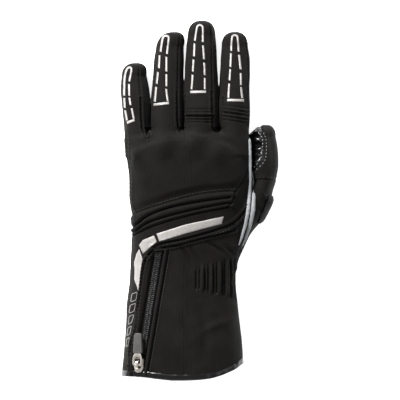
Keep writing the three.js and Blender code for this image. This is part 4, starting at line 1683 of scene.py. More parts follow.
def round_cut(limb: Limb, edge: float, reach: float) -> Callable[[Array], Array]:
    """A cut along a limb at an angle round it.

    Args:
        limb: the limb.
        edge: the angle, in degrees.
        reach: the limb's radius there, and how far the cut looks.

    Returns:
        What gives each place's distance from the cut.
    """

    def value(points: Array) -> Array:
        """Distance round the limb from the cut."""
        away = turned(limb.angle(points), edge) * math.radians(reach)
        return np.where(np.abs(away) < reach, away, reach)

    return value


@dataclass
class SoftShell:
    """All cloth and leather panels of the glove."""

    reach: float = 3.0
    back_floor: float = 12.0
    hem_room: float = 1.2
    heel_pad: Array = field(
        default_factory=lambda: np.array([(57.5, 3.5), (75, 4), (75, -21), (48.5, -19.5), (53.0, -9.0)])
    )

    def build(self) -> dict[str, bpy.types.Object]:
        """Builds every zone's panels.

        Returns:
            The objects by the name of the node that they stand for.
        """
        made = {}
        for shell in (self.block(), self.thumb(), *(self.finger(name) for name in FINGERS)):
            skin = shell.dressed()
            for name, panel in skin.panels().items():
                made[name] = Piece(f"{name}_shell", panel_slot(name), *panel, (name,)).add()
            if shell.zone is Zone.BLOCK:
                pad = skin.layer(self.heel_pad, 6.0, 1.2, 1.6, 0.8)
                piece = Piece("thumb_heel_pad_leather", "pad_leather", *pad, ("thumb_heel_pad",))
                made["thumb_heel_pad"] = piece.add()
        return made

    def block(self) -> Shell:
        """Hand and cuff up to the seams of the fingers and thumb."""

        def outline_cut(outline: Array) -> Callable[[Array], Array]:
            """A cut along an outline, on the back alone."""

            def value(points: Array) -> Array:
                """Distance from the outline."""
                result = np.full(len(points), 40.0)
                back = points[:, 2] > self.back_floor
                result[back] = outside_distance(outline, points[back])
                return result

            return value

        cuts = [
            lambda points: points[:, 1] - FINGER_SEAM_Y,
            lambda points: np.where(points[:, 0] > HAND_EDGE_X - 2, points[:, 1] - THUMB_SEAM_Y, -9.0),
            lambda points: points[:, 1] - hem_line(points[:, 0]) - self.hem_room,
            lambda points: points[:, 2] - side_seam_height(points),
            lambda points: np.where(points[:, 2] < 30, points[:, 1] - WRIST_SEAM_Y, 9.0),
            *(outline_cut(outline) for outline in OUTLINES.values()),
            outline_cut(self.heel_pad),
        ]

        def label(places: Array) -> Array:
            """The panel that each triangle belongs to."""
            names = np.full(len(places), "hand_back", dtype=object)
            names[places[:, 1] < -20] = "cuff_back"
            back = np.flatnonzero(places[:, 2] > self.back_floor)
            for name in ("thumb_base", "cuff_outer", "wrist_band", "rib_panel"):
                names[back[outside_distance(OUTLINES[name], places[back]) < 0]] = name
            names[back[outside_distance(OUTLINES["zip_gap"], places[back]) < 0]] = ""
            palm_side = places[:, 2] < side_seam_height(places)
            names[palm_side] = "palm"
            names[palm_side & (places[:, 1] < WRIST_SEAM_Y)] = "cuff_palm"
            gone = places[:, 1] > FINGER_SEAM_Y
            gone |= (places[:, 1] > THUMB_SEAM_Y) & (places[:, 0] > HAND_EDGE_X)
            gone |= places[:, 1] < hem_line(places[:, 0]) + self.hem_room
            names[gone] = ""
            return names

        def middle(points: Array) -> tuple[Array, Array]:
            """Lengths round the hand and along it."""
            angle = np.radians(HAND.angle(points))
            around = np.where(points[:, 2] < 25, np.radians(90) - (angle + np.pi) % (2 * np.pi), angle)
            return around * 42, points[:, 1]

        return Shell(Zone.BLOCK, (-72, -160, -3), (72, 66.5, 62), WALL, cuts, label, middle)

    def finger(self, name: str) -> Shell:
        """One finger from its root to its tip."""
        limb = FINGERS[name]
        panels = FINGER_PANELS[name]
        centre = (panels.right + panels.left) / 2

        cuts = [lambda points: points[:, 1] - FINGER_SEAM_Y]
        cuts += [round_cut(limb, edge, 12.0) for edge in panels.edges]

        def label(places: Array) -> Array:
            """The panel that each triangle belongs to."""
            away = turned(limb.angle(places), centre)
            half = (panels.left - panels.right) / 2
            names = np.full(len(places), f"{name}_front", dtype=object)
            names[(away > half) & (away < half + panels.side)] = f"{name}_side_left"
            names[(away < -half) & (away > -half - panels.side)] = f"{name}_side_right"
            names[np.abs(away) <= half] = f"{name}_back"
            names[places[:, 1] < FINGER_SEAM_Y] = ""
            return names

        def middle(points: Array) -> tuple[Array, Array]:
            """Lengths round the finger and along it."""
            return np.radians((limb.angle(points) - centre + 270) % 360 - 270) * 13, points[:, 1]

        left = min(row[1] for row in limb.rows)
        right = max(row[2] for row in limb.rows)
        low = (left - self.reach, FINGER_SEAM_Y - 4.5, -3)
        high = (right + self.reach, limb.end + limb.dome_length + self.reach, 54)
        return Shell(Zone(name), low, high, FINGER_WALL, cuts, label, middle)

    def thumb(self) -> Shell:
        """The thumb from its root to its tip."""

        def patch_cut(points: Array) -> Array:
            """A cut along the grip patch's edge, on the back of the thumb."""
            angle = THUMB.angle(points) % 360
            return np.where((angle > 50) & (angle < 185), outside_distance(GRIP_PATCH, points), 9.0)

        cuts = [lambda points: points[:, 1] - THUMB_SEAM_Y]
        cuts += [*(round_cut(THUMB, edge, 10.0) for edge in THUMB_EDGES), patch_cut]

        def label(places: Array) -> Array:
            """The panel that each triangle belongs to."""
            angle = THUMB.angle(places) % 360
            names = np.full(len(places), "thumb_back", dtype=object)
            patch = (outside_distance(GRIP_PATCH, places) < 0) & (angle > 60)
            names[patch & (angle < THUMB_EDGES[0])] = "thumb_grip_patch"
            names[(angle >= THUMB_EDGES[0]) & (angle < THUMB_EDGES[1] + 360)] = "thumb_front"
            names[places[:, 1] < THUMB_SEAM_Y] = ""
            return names

        def middle(points: Array) -> tuple[Array, Array]:
            """Lengths round the thumb and along it."""
            return np.radians((THUMB.angle(points) + 90) % 360) * 11, points[:, 1]

        return Shell(Zone.THUMB, (40, 12.5, -3), (74, 68, 44), FINGER_WALL, cuts, label, middle)


@dataclass
class Patch:
    """A flat outline laid on the top of the glove, with a thickness."""

    name: str
    outline: Array
    slot: str
    lift: float
    thickness: float
    replaces: tuple[str, ...] = ()
    pitch: float = 0.8
    crown: float = 0.0

    def add(self) -> bpy.types.Object:
        """Makes the object."""
        points, faces = laid([self.outline], self.lift, self.thickness, self.pitch, self.crown)
        return Piece(self.name, self.slot, points, faces, None, points[:, :2], self.replaces).add()


def zone_of(points: Array) -> Array:
    """Which zone's relief covers each place, as the zone's name."""
    names = np.full(len(points), Zone.BLOCK.value, dtype=object)
    over = points[:, 1] > FINGER_SEAM_Y
    middles = np.array([sum(limb.rows[1][1:3]) / 2 for limb in FINGERS.values()])
    nearest = np.abs(points[:, :1] - middles).argmin(axis=1)
    names[over] = np.array(list(FINGERS), dtype=object)[nearest[over]]
    names[(points[:, 0] > HAND_EDGE_X) & (points[:, 1] > THUMB_SEAM_Y)] = Zone.THUMB.value
    return names


def on_skin(flat: Array) -> tuple[Array, Array, Array]:
    """Where places in the table's plane lie on the glove's dressed top.

    Args:
        flat: X and Y of each place.

    Returns:
        The bare form's points, the directions out of it, and the relief's height.
    """
    base = FORM.drop(flat)
    out = FORM.normals(Zone.WHOLE, base)
    names = zone_of(base)
    height = np.zeros(len(base))
    for name in sorted(set(names)):
        mine = names == name
        height[mine] = RELIEF.height(Zone(name), base[mine], out[mine])
    return base, out, height


def filled(outline: Array, pitch: float) -> tuple[Array, Array, Array]:
    """Triangulates an outline with points inside it.

    Args:
        outline: its corners in order.
        pitch: distance between the points inside.

    Returns:
        The places, the triangles facing up, and each place's distance from the outline.
    """
    lengths = np.hypot(*(np.roll(outline, -1, axis=0) - outline).T)
    edge = []
    for corner, after, length in zip(outline, np.roll(outline, -1, axis=0), lengths):
        parts = max(1, int(round(length / pitch)))
        edge += [corner + (after - corner) * k / parts for k in range(parts)]
    edge = np.array(edge)
    low, high = outline.min(axis=0), outline.max(axis=0)
    grid = np.meshgrid(*(np.arange(a, b, pitch) for a, b in zip(low, high)))
    grid = np.stack(grid, axis=-1).reshape(-1, 2)
    inner = grid[outside_distance(edge, grid) < -0.55 * pitch]
    every = np.vstack([edge, inner])
    places = [Vector(place) for place in every]
    made = delaunay_2d_cdt(places, [], [list(range(len(edge)))], 1, 1e-5)
    flat = np.array([tuple(place) for place in made[0]])
    faces = np.array([face for face in made[2] if len(face) == 3])
    a, b, c = (flat[faces[:, k]] for k in range(3))
    area = (b[:, 0] - a[:, 0]) * (c[:, 1] - a[:, 1]) - (b[:, 1] - a[:, 1]) * (c[:, 0] - a[:, 0])
    faces[area < 0] = faces[area < 0][:, ::-1]
    return flat, faces, -outside_distance(edge, flat)


def laid(
    outlines: Sequence[Array], lift: float, thickness: float, pitch: float, crown: float = 0.0
) -> tuple[Array, Array]:
    """Lays filled outlines on the glove as thin closed layers.

    Args:
        outlines: each a closed outline in the table's plane.
        lift: how far their tops stand above the cloth.
        thickness: of the layer.
        pitch: of its mesh.
        crown: how much higher the middle is than the edge.

    Returns:
        Points and triangles of all of them.
    """
    flats, all_faces, insides = [], [], []
    total = 0
    for outline in outlines:
        flat, faces, inside = filled(outline, pitch)
        flats.append(flat)
        all_faces.append(faces + total)
        insides.append(inside / max(float(inside.max()), 1e-6))
        total += len(flat)
    flat, faces, share = np.vstack(flats), np.vstack(all_faces), np.concatenate(insides)
    base, out, height = on_skin(flat)
    swell = crown * np.sqrt(np.clip(1 - (1 - share) ** 2, 0, 1))
    soften = abs(lift) * 0.45 * bell(share, 0.25)
    outer = base + out * (height + lift - soften + swell)[:, None]
    inner = base + out * (height + lift - thickness)[:, None]
    return closed(outer, inner, faces, out, out, flat)[:2]


def ring_faces(rings: int, sides: int, joined: bool) -> list[tuple[int, ...]]:
    """Quads between rings of points that follow each other.

    Args:
        rings: how many rings there are.
        sides: points in each ring.
        joined: whether the last ring meets the first; otherwise both ends get a face.

    Returns:
        The faces.
    """
    faces = []
    for row in range(rings if joined else rings - 1):
        here, after = row * sides, (row + 1) % rings * sides
        for step in range(sides):
            beyond = (step + 1) % sides
            faces.append((here + step, here + beyond, after + beyond, after + step))
    if not joined:
        faces += [tuple(range(sides - 1, -1, -1)), tuple(range((rings - 1) * sides, rings * sides))]
    return faces


def ribbon(path: Array, width: float, slant: float = 0.0) -> Array:
    """The outline of a strip along a path, its ends cut at a slant.

    Args:
        path: its middle line.
        width: across the strip.
        slant: how far each side's ends are moved along the path.

    Returns:
        The outline's corners in order.
    """
    ahead = np.gradient(path, axis=0)
    ahead /= np.linalg.norm(ahead, axis=1, keepdims=True)
    across = np.stack([-ahead[:, 1], ahead[:, 0]], axis=1) * width / 2
    left, right = path + across, path - across
    left[[0, -1]] += ahead[[0, -1]] * slant
    right[[0, -1]] -= ahead[[0, -1]] * slant
    return np.vstack([right, left[::-1]])


REFLECTORS = {
    "reflector_long": (
        *((-37, -28.6), (-12.3, -20.9), (20.1, -13.9)),
        *((18.4, -20.2), (-10.8, -28.1), (-34.3, -35)),
    ),
    "reflector_short": ((-38.9, -30.1), (-36.6, -35.4), (-48.2, -45.6), (-51.4, -38.3), (-48.2, -34)),
    "reflector_side": (
        (-51.4, -41.8),
        (-48.7, -50.2),
        (-50.4, -64),
        (-51.7, -77.3),
        (-56.4, -67.1),
        (-55.8, -53),
        (-53.6, -45.4),
    ),
}

PIPING = {
    "side_piping_inner": (
        (52.5, 40.8, 43.2),
        (34, 41.3, 43.9),
        (17, 41.6, 44.0),
        (3.4, 40.6, 43.6),
        (-9, 39.2, 42.5),
        (-21, 37.2, 40),
        (-32, 34.2, 36.4),
        (-39, 32.0, 33.8),
    ),
    "side_piping_outer": (
        (25, 43.8, 44.6),
        (17, 44.2, 45.7),
        (10, 44.5, 46.8),
        (3.4, 44.2, 47.4),
        (-9, 43.2, 46.9),
        (-23, 40.2, 43.6),
        (-34, 37, 39.2),
        (-42, 33.8, 35),
    ),
}

# Reflective outlines on the fingers, as strokes in the photograph's frame
STROKE = 1.55
BAR = 2.1
FINGER_STROKES: dict[str, tuple[tuple[Point, ...], ...]] = {
    "little": (
        (
            *((124.6, 95.6), (124.4, 88), (124.8, 79), (126.4, 71)),
            *((128.2, 68), (130.4, 67.4), (131.9, 69.6), (129.6, 81.4)),
        ),
        ((129.3, 84), (129.8, 96)),
        ((130, 98), (131.1, 105.3)),
        ((132.2, 108.5), (134.2, 119)),
        ((124.7, 98), (125.3, 108)),
        ((125.5, 110.6), (127.2, 120.6)),
    ),
    "ring": (
        (
            *((160.8, 51.7), (163, 38.6), (164.2, 36.3), (165.8, 35.5)),
            *((167.8, 36), (169.1, 38.2), (167.3, 53.9)),
        ),
        ((159.9, 55.2), (159.3, 68.3)),
        ((158.4, 72.2), (157.1, 84)),
        ((156.4, 87), (155.4, 102)),
        ((166.9, 56.9), (166.9, 71.8)),
        ((166.9, 74.4), (166.9, 86.6)),
        ((166.7, 89.2), (168.2, 101.5)),
    ),
    "middle": (
        (
            *((195.3, 40.8), (197, 28.6), (198.2, 25.6), (200.5, 24.6)),
            *((202.4, 25.8), (203.3, 28.6), (203.2, 42.1)),
        ),
        ((195, 43.6), (194.4, 56.5)),
        ((194, 59.7), (193.1, 71.8)),
        ((192.9, 75), (191.8, 89.6)),
        ((203.4, 45.8), (204.5, 59.5)),
        ((204.7, 62.8), (205.3, 75.3)),
        ((205.3, 78.1), (205.3, 89.6)),
    ),
    "index": (
        (
            *((231.5, 50.8), (232.4, 37.7), (233.4, 35.5), (235, 34.7)),
            *((237, 35.4), (238.1, 37.7), (239.2, 51.7)),
        ),
        ((231.4, 53.2), (230.8, 67)),
        ((230.7, 69.3), (229.8, 80.5)),
        ((229.6, 83.8), (228.7, 98)),
        ((239.5, 54.9), (241.1, 69.6)),
        ((241.2, 73.3), (241.3, 85.3)),
        ((241.5, 87.3), (242.7, 98.4)),
    ),
}
FINGER_BARS: dict[str, tuple[Point, Point]] = {
    "little": ((135, 120), (127.2, 122.9)),
    "ring": ((154.6, 104.9), (169.6, 103.3)),
    "middle": ((190.6, 92.2), (206.6, 91.9)),
    "index": ((227.6, 100.3), (244.2, 100.6)),
}


@dataclass
class Trim:
    """Foil, finger outlines, piping and the plain motif on the cuff."""

    foil_lift: float = 0.45
    piping_lift: float = 0.2
    piping_seat: float = 0.35
    print_lift: float = 0.22
    motif_lift: float = 0.16
    motif_line: float = 0.5
    motif_top: float = -78.0
    motif_pitch: float = 9.6
    motif_length: float = 8.6
    motif_slant: float = 1.8
    motif_count: int = 5
    motif_edges: tuple = (((-140, -78), (-64.6, -57.8)), ((-140, -78), (-63.0, -52.8)))
    cord_sides: int = 16

    def build(self) -> None:
        """Builds every applied layer."""
        for name, outline in REFLECTORS.items():
            path = np.array(outline, float)
            Patch(f"{name}_foil", path, "foil", self.foil_lift, 0.9, (name,), 0.8).add()
        for name, rows in PIPING.items():
            self.piping(name, np.array(rows))
        for name, strokes in FINGER_STROKES.items():
            outlines = [ribbon(smooth_path(photo(*stroke), 0.7), STROKE, 0.25) for stroke in strokes]
            outlines.append(ribbon(smooth_path(photo(*FINGER_BARS[name]), 0.7), BAR))
            points, faces = laid(outlines, self.print_lift, 0.7, 0.6)
            Piece(f"{name}_outline_foil", "foil", points, faces, None, points[:, :2]).add()
        self.motif()

    def piping(self, name: str, rows: Array) -> None:
        """A stuffed cord of leather that lies along a seam.

        Args:
            name: the CAD node that it stands for.
            rows: its Y, and the X of its left and right edge.
        """
        y = np.arange(rows[0, 0], rows[-1, 0], -0.8)
        left, right = (np.interp(-y, -rows[:, 0], rows[:, k]) for k in (1, 2))
        half = (right - left) / 2
        ends = smoothstep(0, 2.5, y[0] - y) * smoothstep(0, 5, y - y[-1])
        seat, out, height = on_skin(np.stack([left + self.piping_seat * half, y], axis=1))
        level = seat[:, 2] + out[:, 2] * height
        level = np.convolve(np.pad(level, 4, "edge"), np.ones(9) / 9, "valid")
        angles = np.linspace(0, 2 * math.pi, self.cord_sides, endpoint=False)
        radius = half[:, None] * (0.25 + 0.75 * ends[:, None])
        x = ((left + right) / 2)[:, None] + radius * np.cos(angles)
        z = (level + self.piping_lift)[:, None] + 0.85 * radius * np.sin(angles)
        rows = np.repeat(y, self.cord_sides)
        points = np.stack([x, rows.reshape(x.shape), z], axis=2).reshape(-1, 3)
        points += 0.1 * ripple(points, 3.0, 41)[:, None]
        faces = ring_faces(len(y), self.cord_sides, False)
        flat = np.stack([np.tile(angles, len(y)) * 1.5, rows], axis=1)
        Piece(f"{name}_leather", "piping_leather", points, faces, None, flat, (name,)).add()

    def motif(self) -> None:
        """Slanted open lozenges down the outer side of the cuff."""
        prints = []
        for number in range(self.motif_count):
            top = self.motif_top - number * self.motif_pitch
            low, slant = top - self.motif_length, self.motif_slant
            left, right = (np.interp((top, low), *edge) for edge in self.motif_edges)
            corners = [(right[0], top), (left[0], top - slant), (left[1], low), (right[1], low + slant)]
            line = rounded(corners, 1.2)
            line = np.vstack([line, line[:1]])
            for first in range(0, len(line) - 1, 5):
                prints.append(ribbon(smooth_path(line[first : first + 6], 0.6), self.motif_line))
        points, faces = laid(prints, self.motif_lift, 0.6, 0.5)
        Piece("cuff_outer_motif", "motif_foil", points, faces, None, points[:, :2]).add()


def beside(path: Array, gap: float) -> Array:
    """A path moved to its left by a gap, or to its right where it is negative."""
    ahead = np.gradient(path, axis=0)
    ahead /= np.linalg.norm(ahead, axis=1, keepdims=True)
    return path + np.stack([-ahead[:, 1], ahead[:, 0]], axis=1) * gap


# A seat lower than this has missed the glove and lies on the table
BESIDE_GLOVE = 4.0


def seats_along(paths: Iterable[Array], pitch: float, lift: float) -> Seats:
    """Seats on the cloth at an even pitch along paths.

    Args:
        paths: lines in the plane of the table.
        pitch: between two seats.
        lift: of the seats over the cloth.

    Returns:
        The seats, which look along their path.
    """
    flats, aheads = [], []
    for path in paths:
        run = np.concatenate([[0], np.cumsum(np.hypot(*np.diff(path, axis=0).T))])
        places = np.arange(pitch / 2, run[-1], pitch)
        at, after = (
            np.stack([np.interp(where, run, path[:, k]) for k in range(2)], axis=1)
            for where in (places - 0.3, places + 0.3)
        )
        flats.append((at + after) / 2)
        aheads.append(after - at)
    flat, ahead = np.vstack(flats), np.vstack(aheads)
    base, out, height = on_skin(flat)
    later, later_out, later_height = on_skin(flat + ahead)
    points = base + out * (height + lift)[:, None]
    along = later + later_out * (later_height + lift)[:, None] - points
    seated = np.minimum(points[:, 2], points[:, 2] + along[:, 2]) > BESIDE_GLOVE
    return Seats(points[seated], along[seated], out[seated])


@dataclass
class Stitching:
    """Rows of stitches beside the seams, and through the gathers."""

    pitch: float = 2.7
    size: tuple[float, float, float] = (2.1, 0.5, 0.42)
    edge_pitch: float = 2.9

    def build(self) -> None:
        """Builds the dark rows, and the rows on the grip patch whose black thread is painted light grey as a
        painted glint.
        """
        sewer = Repeater("stitches", "thread", False)
        sewer.place("seam_stitches", seats_along(self.rows(), self.pitch, 0.12), self.size, 0.08)
        # The grip patch's stitches: black thread painted light grey, a painted glint.
        glint_painted_sewer = Repeater("patch_stitches", "glint_painted_thread", False)
        edge = smooth_path(GRIP_EDGE[1:-1])
        rows = [beside(edge, gap) for gap in (0.9, -1.4)]
        glint_painted_sewer.place("grip_patch_stitches", seats_along(rows, self.edge_pitch, 0.2), (1.5, 0.7, 0.55), 0.2)

    def rows(self) -> list[Array]:
        """Every dark row, in the plane of the table."""
        flap = ZIP.opening + ZIP.inner_flap + 1.5
        rows = [np.array([(ZIP.x(y, flap), y) for y in np.arange(-46.0, -147.0, -1.0)])]
        paths = ((BAND_BOTTOM, 2.6), (SIDE_SEAM, 1.9), (RIB_TOP, 2.0), (THUMB_SEAMS[0].path, 1.7))
        rows += [beside(smooth_path(path), gap) for path, gap in paths]
        for x in (edge for pair in RELIEF.gather_pairs for edge in pair):
            top = np.interp(x, *np.array(RELIEF.gather_tops).T) - 3
            bottom = np.interp(x, *np.array(RELIEF.gather_bottoms).T) + 1
            rows.append(np.array([(x, y) for y in np.arange(top, bottom, -1.0)]))
        return rows


@dataclass
class Plate:
    """A flat part with rounded edges, drawn in the pull's own frame."""

    rim: Array
    low: float
    high: float
    bevel: float
    hole: Array | None = None

    def mesh(self, place: Matrix) -> tuple[Array, list[list[int]]]:
        """Its points in millimetres and its faces, put in place."""
        curve = bpy.data.curves.new("plate", "CURVE")
        curve.dimensions, curve.fill_mode = "2D", "BOTH"
        curve.extrude = (self.high - self.low) / 2 - self.bevel
        curve.bevel_depth, curve.bevel_resolution, curve.offset = self.bevel, 2, -self.bevel
        for outline in (self.rim, self.hole):
            if outline is not None:
                spline = curve.splines.new("POLY")
                spline.points.add(len(outline) - 1)
                corners = np.column_stack([outline, np.zeros(len(outline)), np.ones(len(outline))])
                spline.points.foreach_set("co", corners.ravel())
                spline.use_cyclic_u = True
        made = put("plate", curve)
        mesh = bpy.data.meshes.new_from_object(made.evaluated_get(bpy.context.evaluated_depsgraph_get()))
        bpy.data.objects.remove(made)
        bm = bmesh.new()
        bm.from_mesh(mesh)
        bmesh.ops.remove_doubles(bm, verts=bm.verts[:], dist=1e-4)
        bmesh.ops.triangulate(bm, faces=bm.faces[:])
        bmesh.ops.recalc_face_normals(bm, faces=bm.faces[:])
        bm.transform(place @ Matrix.Translation((0, 0, (self.low + self.high) / 2)))
        points = np.array([tuple(v.co) for v in bm.verts])
        faces = [[v.index for v in f.verts] for f in bm.faces]
        bm.free()
        return points, faces


def rounded(corners: Sequence[Point], radius: float, steps: int = 5) -> Array:
    """A closed outline with its corners rounded."""
    result = []
    count = len(corners)
    for number in range(count):
        here = np.array(corners[number], float)
        sides = [np.array(corners[(number + step) % count], float) - here for step in (-1, 1)]
        lengths = [np.hypot(*side) for side in sides]
        reach = min(radius, 0.48 * min(lengths))
        first, last = (here + side * reach / length for side, length in zip(sides, lengths))
        for t in np.linspace(0, 1, steps):
            result.append((1 - t) ** 2 * first + 2 * t * (1 - t) * here + t**2 * last)
    return np.array(result)


def mirrored(side: Sequence[Point]) -> list[Point]:
    """A closed outline from its right half, listed upwards."""
    return [*side, *((-x, y) for x, y in reversed(side))]


@dataclass
class ZipFastener:
    """Tape, flaps, teeth, slider, pull and grip of the cuff's zip."""

    tape_sink: float = -1.9
    pitch: float = 1.75
    tooth: tuple[float, float, float] = (3.1, 1.05, 1.5)
    hinge: Vector = field(default_factory=lambda: Vector((-52.914, -139.592, 53.994)))
    tilt: float = 27.013
    turn: float = -0.5
    last: float = -130.0

    def build(self) -> None:
        """Builds the parts in order."""
        outline = ZIP.strip(-ZIP.opening - 0.8, ZIP.opening + 0.8, ZIP.top + 0.5, -148.4)
        Patch("zip_tape_cloth", outline, "stretch_cloth", self.tape_sink, 0.8, ("zip_tape",), 1.0).add()
        inner = ZIP.strip(ZIP.opening - 0.4, ZIP.opening + ZIP.inner_flap, ZIP.top + 1.5, -149.4)
        outer = ZIP.strip(-ZIP.opening - ZIP.outer_flap, -ZIP.opening + 0.4, -46.6, -149.4)
        for name, outline in (("zip_flap_inner", inner), ("zip_flap_outer", outer)):
            Patch(f"{name}_cloth", outline, "softshell", 0.2, 2.6, (name,), 0.7, 1.5).add()
        self.teeth()
        self.metal()
        self.rubber()

    def teeth(self) -> None:
        """Moulded teeth, alternating from the two sides."""
        y = np.arange(ZIP.top - 1.0, self.last, -self.pitch / 2)
        side = np.where(np.arange(len(y)) % 2, 1.0, -1.0)
        base, out, height = on_skin(np.stack([ZIP.x(y, 0.0), y], axis=1))
        down = np.array((ZIP.centre_bottom - ZIP.centre_top, ZIP.bottom - ZIP.top, 0.0))
        across = np.cross(down / np.linalg.norm(down), out) * side[:, None]
        across /= np.linalg.norm(across, axis=1, keepdims=True)
        seats = base + out * (height + self.tape_sink + 0.55)[:, None] + across * 1.3
        teeth = Repeater("zip_teeth", "black_plastic", True)
        teeth.place("zip_teeth", Seats(seats, across, out), self.tooth, 0.0, ("zip_chain",))

    def frame(self) -> Matrix:
        """The frame of the pull: X along the hinge, Z away from the cuff."""
        turn = Matrix.Rotation(math.radians(self.turn), 4, "Z")
        return Matrix.Translation(self.hinge) @ turn @ Matrix.Rotation(-math.radians(self.tilt), 4, "Y")

    def metal(self) -> None:
        """The slider with its bridge, and the pull with its window."""
        body = rounded(mirrored([(1.5, -6.3), (3.0, -5.4), (4.2, -1.5), (4.2, 3.6), (3.3, 6.0)]), 1.2)
        rail = rounded([(3.1, -5.0), (4.3, -3.0), (4.3, 5.0), (3.1, 5.6)], 0.5)
        arch = [(-3.8, -1.6), (-3.4, 1.2), (-2.2, 2.45), (2.2, 2.45), (3.4, 1.2), (3.8, -1.6)]
        arch += [(2.6, -1.6), (2.3, 0.7), (1.5, 1.3), (-1.5, 1.3), (-2.3, 0.7), (-2.6, -1.6)]
        upright = Matrix(((0, 0, 1, 0), (1, 0, 0, 0), (0, 1, 0, 0), (0, 0, 0, 1)))
        slider = [
            (Plate(body, -2.9, -1.3, 0.4), Matrix()),
            (Plate(rail, -4.3, -2.0, 0.3), Matrix()),
            (Plate(rail * (-1, 1), -4.3, -2.0, 0.3), Matrix()),
            (Plate(rounded(arch, 1.0), -1.2, 1.2, 0.3), upright),
        ]
        self.joined("zip_slider_metal", slider, "bright_metal", ("zip_slider",), GLOVE)
        # A black plate on the slider's top, under the pull's window, so that the window shows dark.
        dark_plate = rounded(mirrored([(0.9, -3.6), (2.4, -2.8), (3.1, -0.8), (3.1, 3.6), (2.4, 5.2)]), 1.0)
        dark_plate = [(Plate(dark_plate, -1.6, -1.2, 0.15), Matrix())]
        self.joined("zip_slider_dark_plate", dark_plate, "black_plastic", (), GLOVE)
        edge = [(3.2, -1.1), (4.5, 0.6), (4.4, 5.2), (3.7, 8.2), (2.4, 9.7), (2.4, 12.9)]
        window = rounded([(-2.6, 1.0), (2.6, 1.0), (2.9, 4.6), (2.0, 6.6), (-2.0, 6.6), (-2.9, 4.6)], 1.1)
        pull = [(Plate(rounded(mirrored(edge), 1.0), -0.7, 0.7, 0.3, window), Matrix())]
        self.joined("zip_pull_metal", pull, "bright_metal", ("zip_pull",), PULL)

    def rubber(self) -> None:
        """The moulded grip with three fine ribs."""
        edge = [(3.9, 9.5), (4.25, 11.0), (3.5, 25.3), (2.2, 26.9)]
        parts = [(Plate(rounded(mirrored(edge), 1.6), -2.2, 0.9, 0.75), Matrix())]
        for y in (12.6, 14.4, 16.2):
            bar = rounded([(-2.5, y), (2.5, y), (2.5, y + 0.7), (-2.5, y + 0.7)], 0.3)
            parts.append((Plate(bar, 0.6, 1.25, 0.25), Matrix()))
        self.joined("zip_grip_rubber", parts, "grey_rubber", ("zip_grip",), PULL)

    def joined(
        self, name: str, parts: list[tuple[Plate, Matrix]], slot: str, nodes: tuple[str, ...], body: str
    ) -> None:
        """One piece from several plates.

        Args:
            name: of the piece.
            parts: plates, and how each is turned in the pull's frame.
            slot: of its finish.
            nodes: the CAD nodes that it stands for.
            body: the CAD body that it rides on.
        """
        points, faces = [], []
        for plate, turn in parts:
            more, corners = plate.mesh(self.frame() @ turn)
            faces += [[corner + len(points) for corner in face] for face in corners]
            points += more.tolist()
        made = Piece(name, slot, np.array(points), faces, None, None, nodes, body).add()
        made.data.set_sharp_from_angle(angle=math.radians(40))


@dataclass
class HemBinding:
    """The glossy binding folded over the cuff's mouth."""

    width: float = 3.9
    proud: float = 0.55
    steps: int = 420
    lip: float = 1.5

    def build(self) -> bpy.types.Object:
        """Sweeps its folded section round the mouth.

        Returns:
            The object.
        """
        angles = np.linspace(0, 2 * math.pi, self.steps, endpoint=False)
        y = np.full(self.steps, -150.0)
        for _ in range(12):
            base = self.skin(angles, y, 0.0)
            y = hem_line(base[:, 0])
        section = self.section()
        rings = []
        for offset, along in section:
            ring = self.skin(angles, y + self.lip + along, offset)
            ring += 0.16 * ripple(ring, 5, 21)[:, None] * (offset > -1)
            rings.append(ring)
        points = np.vstack(rings)
        points[:, 2] = np.maximum(points[:, 2], LEAST_Z)
        count = len(section)
        faces = ring_faces(count, self.steps, True)
        flat = np.stack([np.tile(angles * 45, count), np.repeat(np.arange(count), self.steps)], axis=1)
        nodes = ("hem_binding",)
        return Piece("hem_binding_leather", "grip_leather", points, faces, None, flat, nodes).add()

    def section(self) -> list[tuple[float, float]]:
        """Its folded section as heights over the skin and distances along."""
        top, under, end = self.proud, -WALL - self.proud, self.width
        turns = np.linspace(0, math.pi, 9)
        half = WALL / 2
        lip = [((half + self.proud) * math.cos(t) - half, -self.lip * math.sin(t)) for t in turns]
        outer = [(0.1, end), (top * 0.9, end - 0.25), (top + 0.1, end * 0.6), (top, 0.6)]
        inner = [(under, 0.6), (under - 0.1, end * 0.6), (under + 0.3, end), (-0.6, end)]
        return outer + lip + inner

    @staticmethod
    def skin(angles: Array, y: Array, offset: float) -> Array:
        """Places round the cuff, grown or shrunk by an offset."""
        left, right, top, under = HAND.section(y)
        power = 2 / HAND.roundness
        cosine, sine = np.cos(angles), np.sin(angles)
        across = np.sign(cosine) * np.abs(cosine) ** power * ((right - left) / 2 + offset)
        rise = np.sign(sine) * np.abs(sine) ** power * ((top - under) / 2 + offset)
        height = np.maximum((top + under) / 2 + rise, max(-offset, 0.0))
        return np.stack([(left + right) / 2 + across, y, height], axis=1)


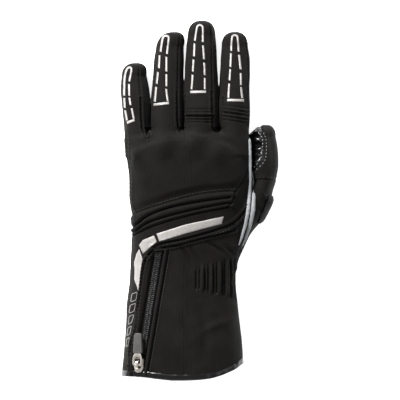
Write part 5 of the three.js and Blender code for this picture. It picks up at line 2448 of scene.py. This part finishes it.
@dataclass
class Studio:
    """Pale floor, soft light and the camera straight above."""

    view: float = 0.34
    distance: float = 6.0
    lens_height: float = 0.03

    def build(self) -> None:
        """Makes the floor, the lights and the camera."""
        self.floor()
        self.light("key", (-0.8, 1.1, 1.0), 0.5, 70)
        self.light("fill", (1.2, 0.3, 1.3), 1.0, 4)
        self.light("front", (-0.2, -1.4, 1.2), 1.2, 5)
        world = bpy.data.worlds.new("studio")
        bpy.context.scene.world = world
        world.use_nodes = True
        background = world.node_tree.nodes["Background"].inputs
        background[0].default_value = (1, 1, 1, 1)
        background[1].default_value = 0.4
        bpy.context.scene.view_settings.view_transform = "Standard"
        self.camera()

    def floor(self) -> None:
        """A pale floor that is not part of the object."""
        mesh = bpy.data.meshes.new("floor")
        corners = [(x, y, 0) for x, y in ((-6, -6), (6, -6), (6, 6), (-6, 6))]
        mesh.from_pydata(corners, [], [(0, 1, 2, 3)])
        made = put("floor", mesh)
        made.location.z = -0.0003
        look = Look("floor_paper")
        look.feed("Base Color", look.ramp(look.noise(3, 2), ((0.3, grey(0.9)), (0.7, grey(0.93)))))
        look.constants(roughness=0.9, specular_ior_level=0.1)
        look.constants(emission_color=(1, 1, 1, 1), emission_strength=0.85)
        mesh.materials.append(look.material)

    def light(self, name: str, place: tuple[float, float, float], size: float, power: float) -> None:
        """A square soft light that points at the glove."""
        lamp = bpy.data.lights.new(name, "AREA")
        lamp.shape, lamp.size, lamp.energy = "SQUARE", size, power
        made = put(name, lamp)
        made.location = place
        made.rotation_euler = (-Vector(place)).to_track_quat("-Z", "Y").to_euler()

    def camera(self) -> None:
        """A long lens straight above, framing the photograph's square."""
        lens = bpy.data.cameras.new("camera")
        lens.sensor_width = 36
        lens.lens = lens.sensor_width * (self.distance - self.lens_height) / self.view
        lens.clip_end = 20
        made = put("camera", lens)
        made.location = (0, 0, self.distance)
        bpy.context.scene.camera = made


def main() -> None:
    """Builds the glove's looks in order."""
    logging.basicConfig(level=logging.INFO, format="%(name)s: %(message)s", stream=sys.stdout)
    panels = SoftShell().build()
    Trim().build()
    Stitching().build()
    ZipFastener().build()
    HemBinding().build()
    Studio().build()


if __name__ == "__main__":
    main()
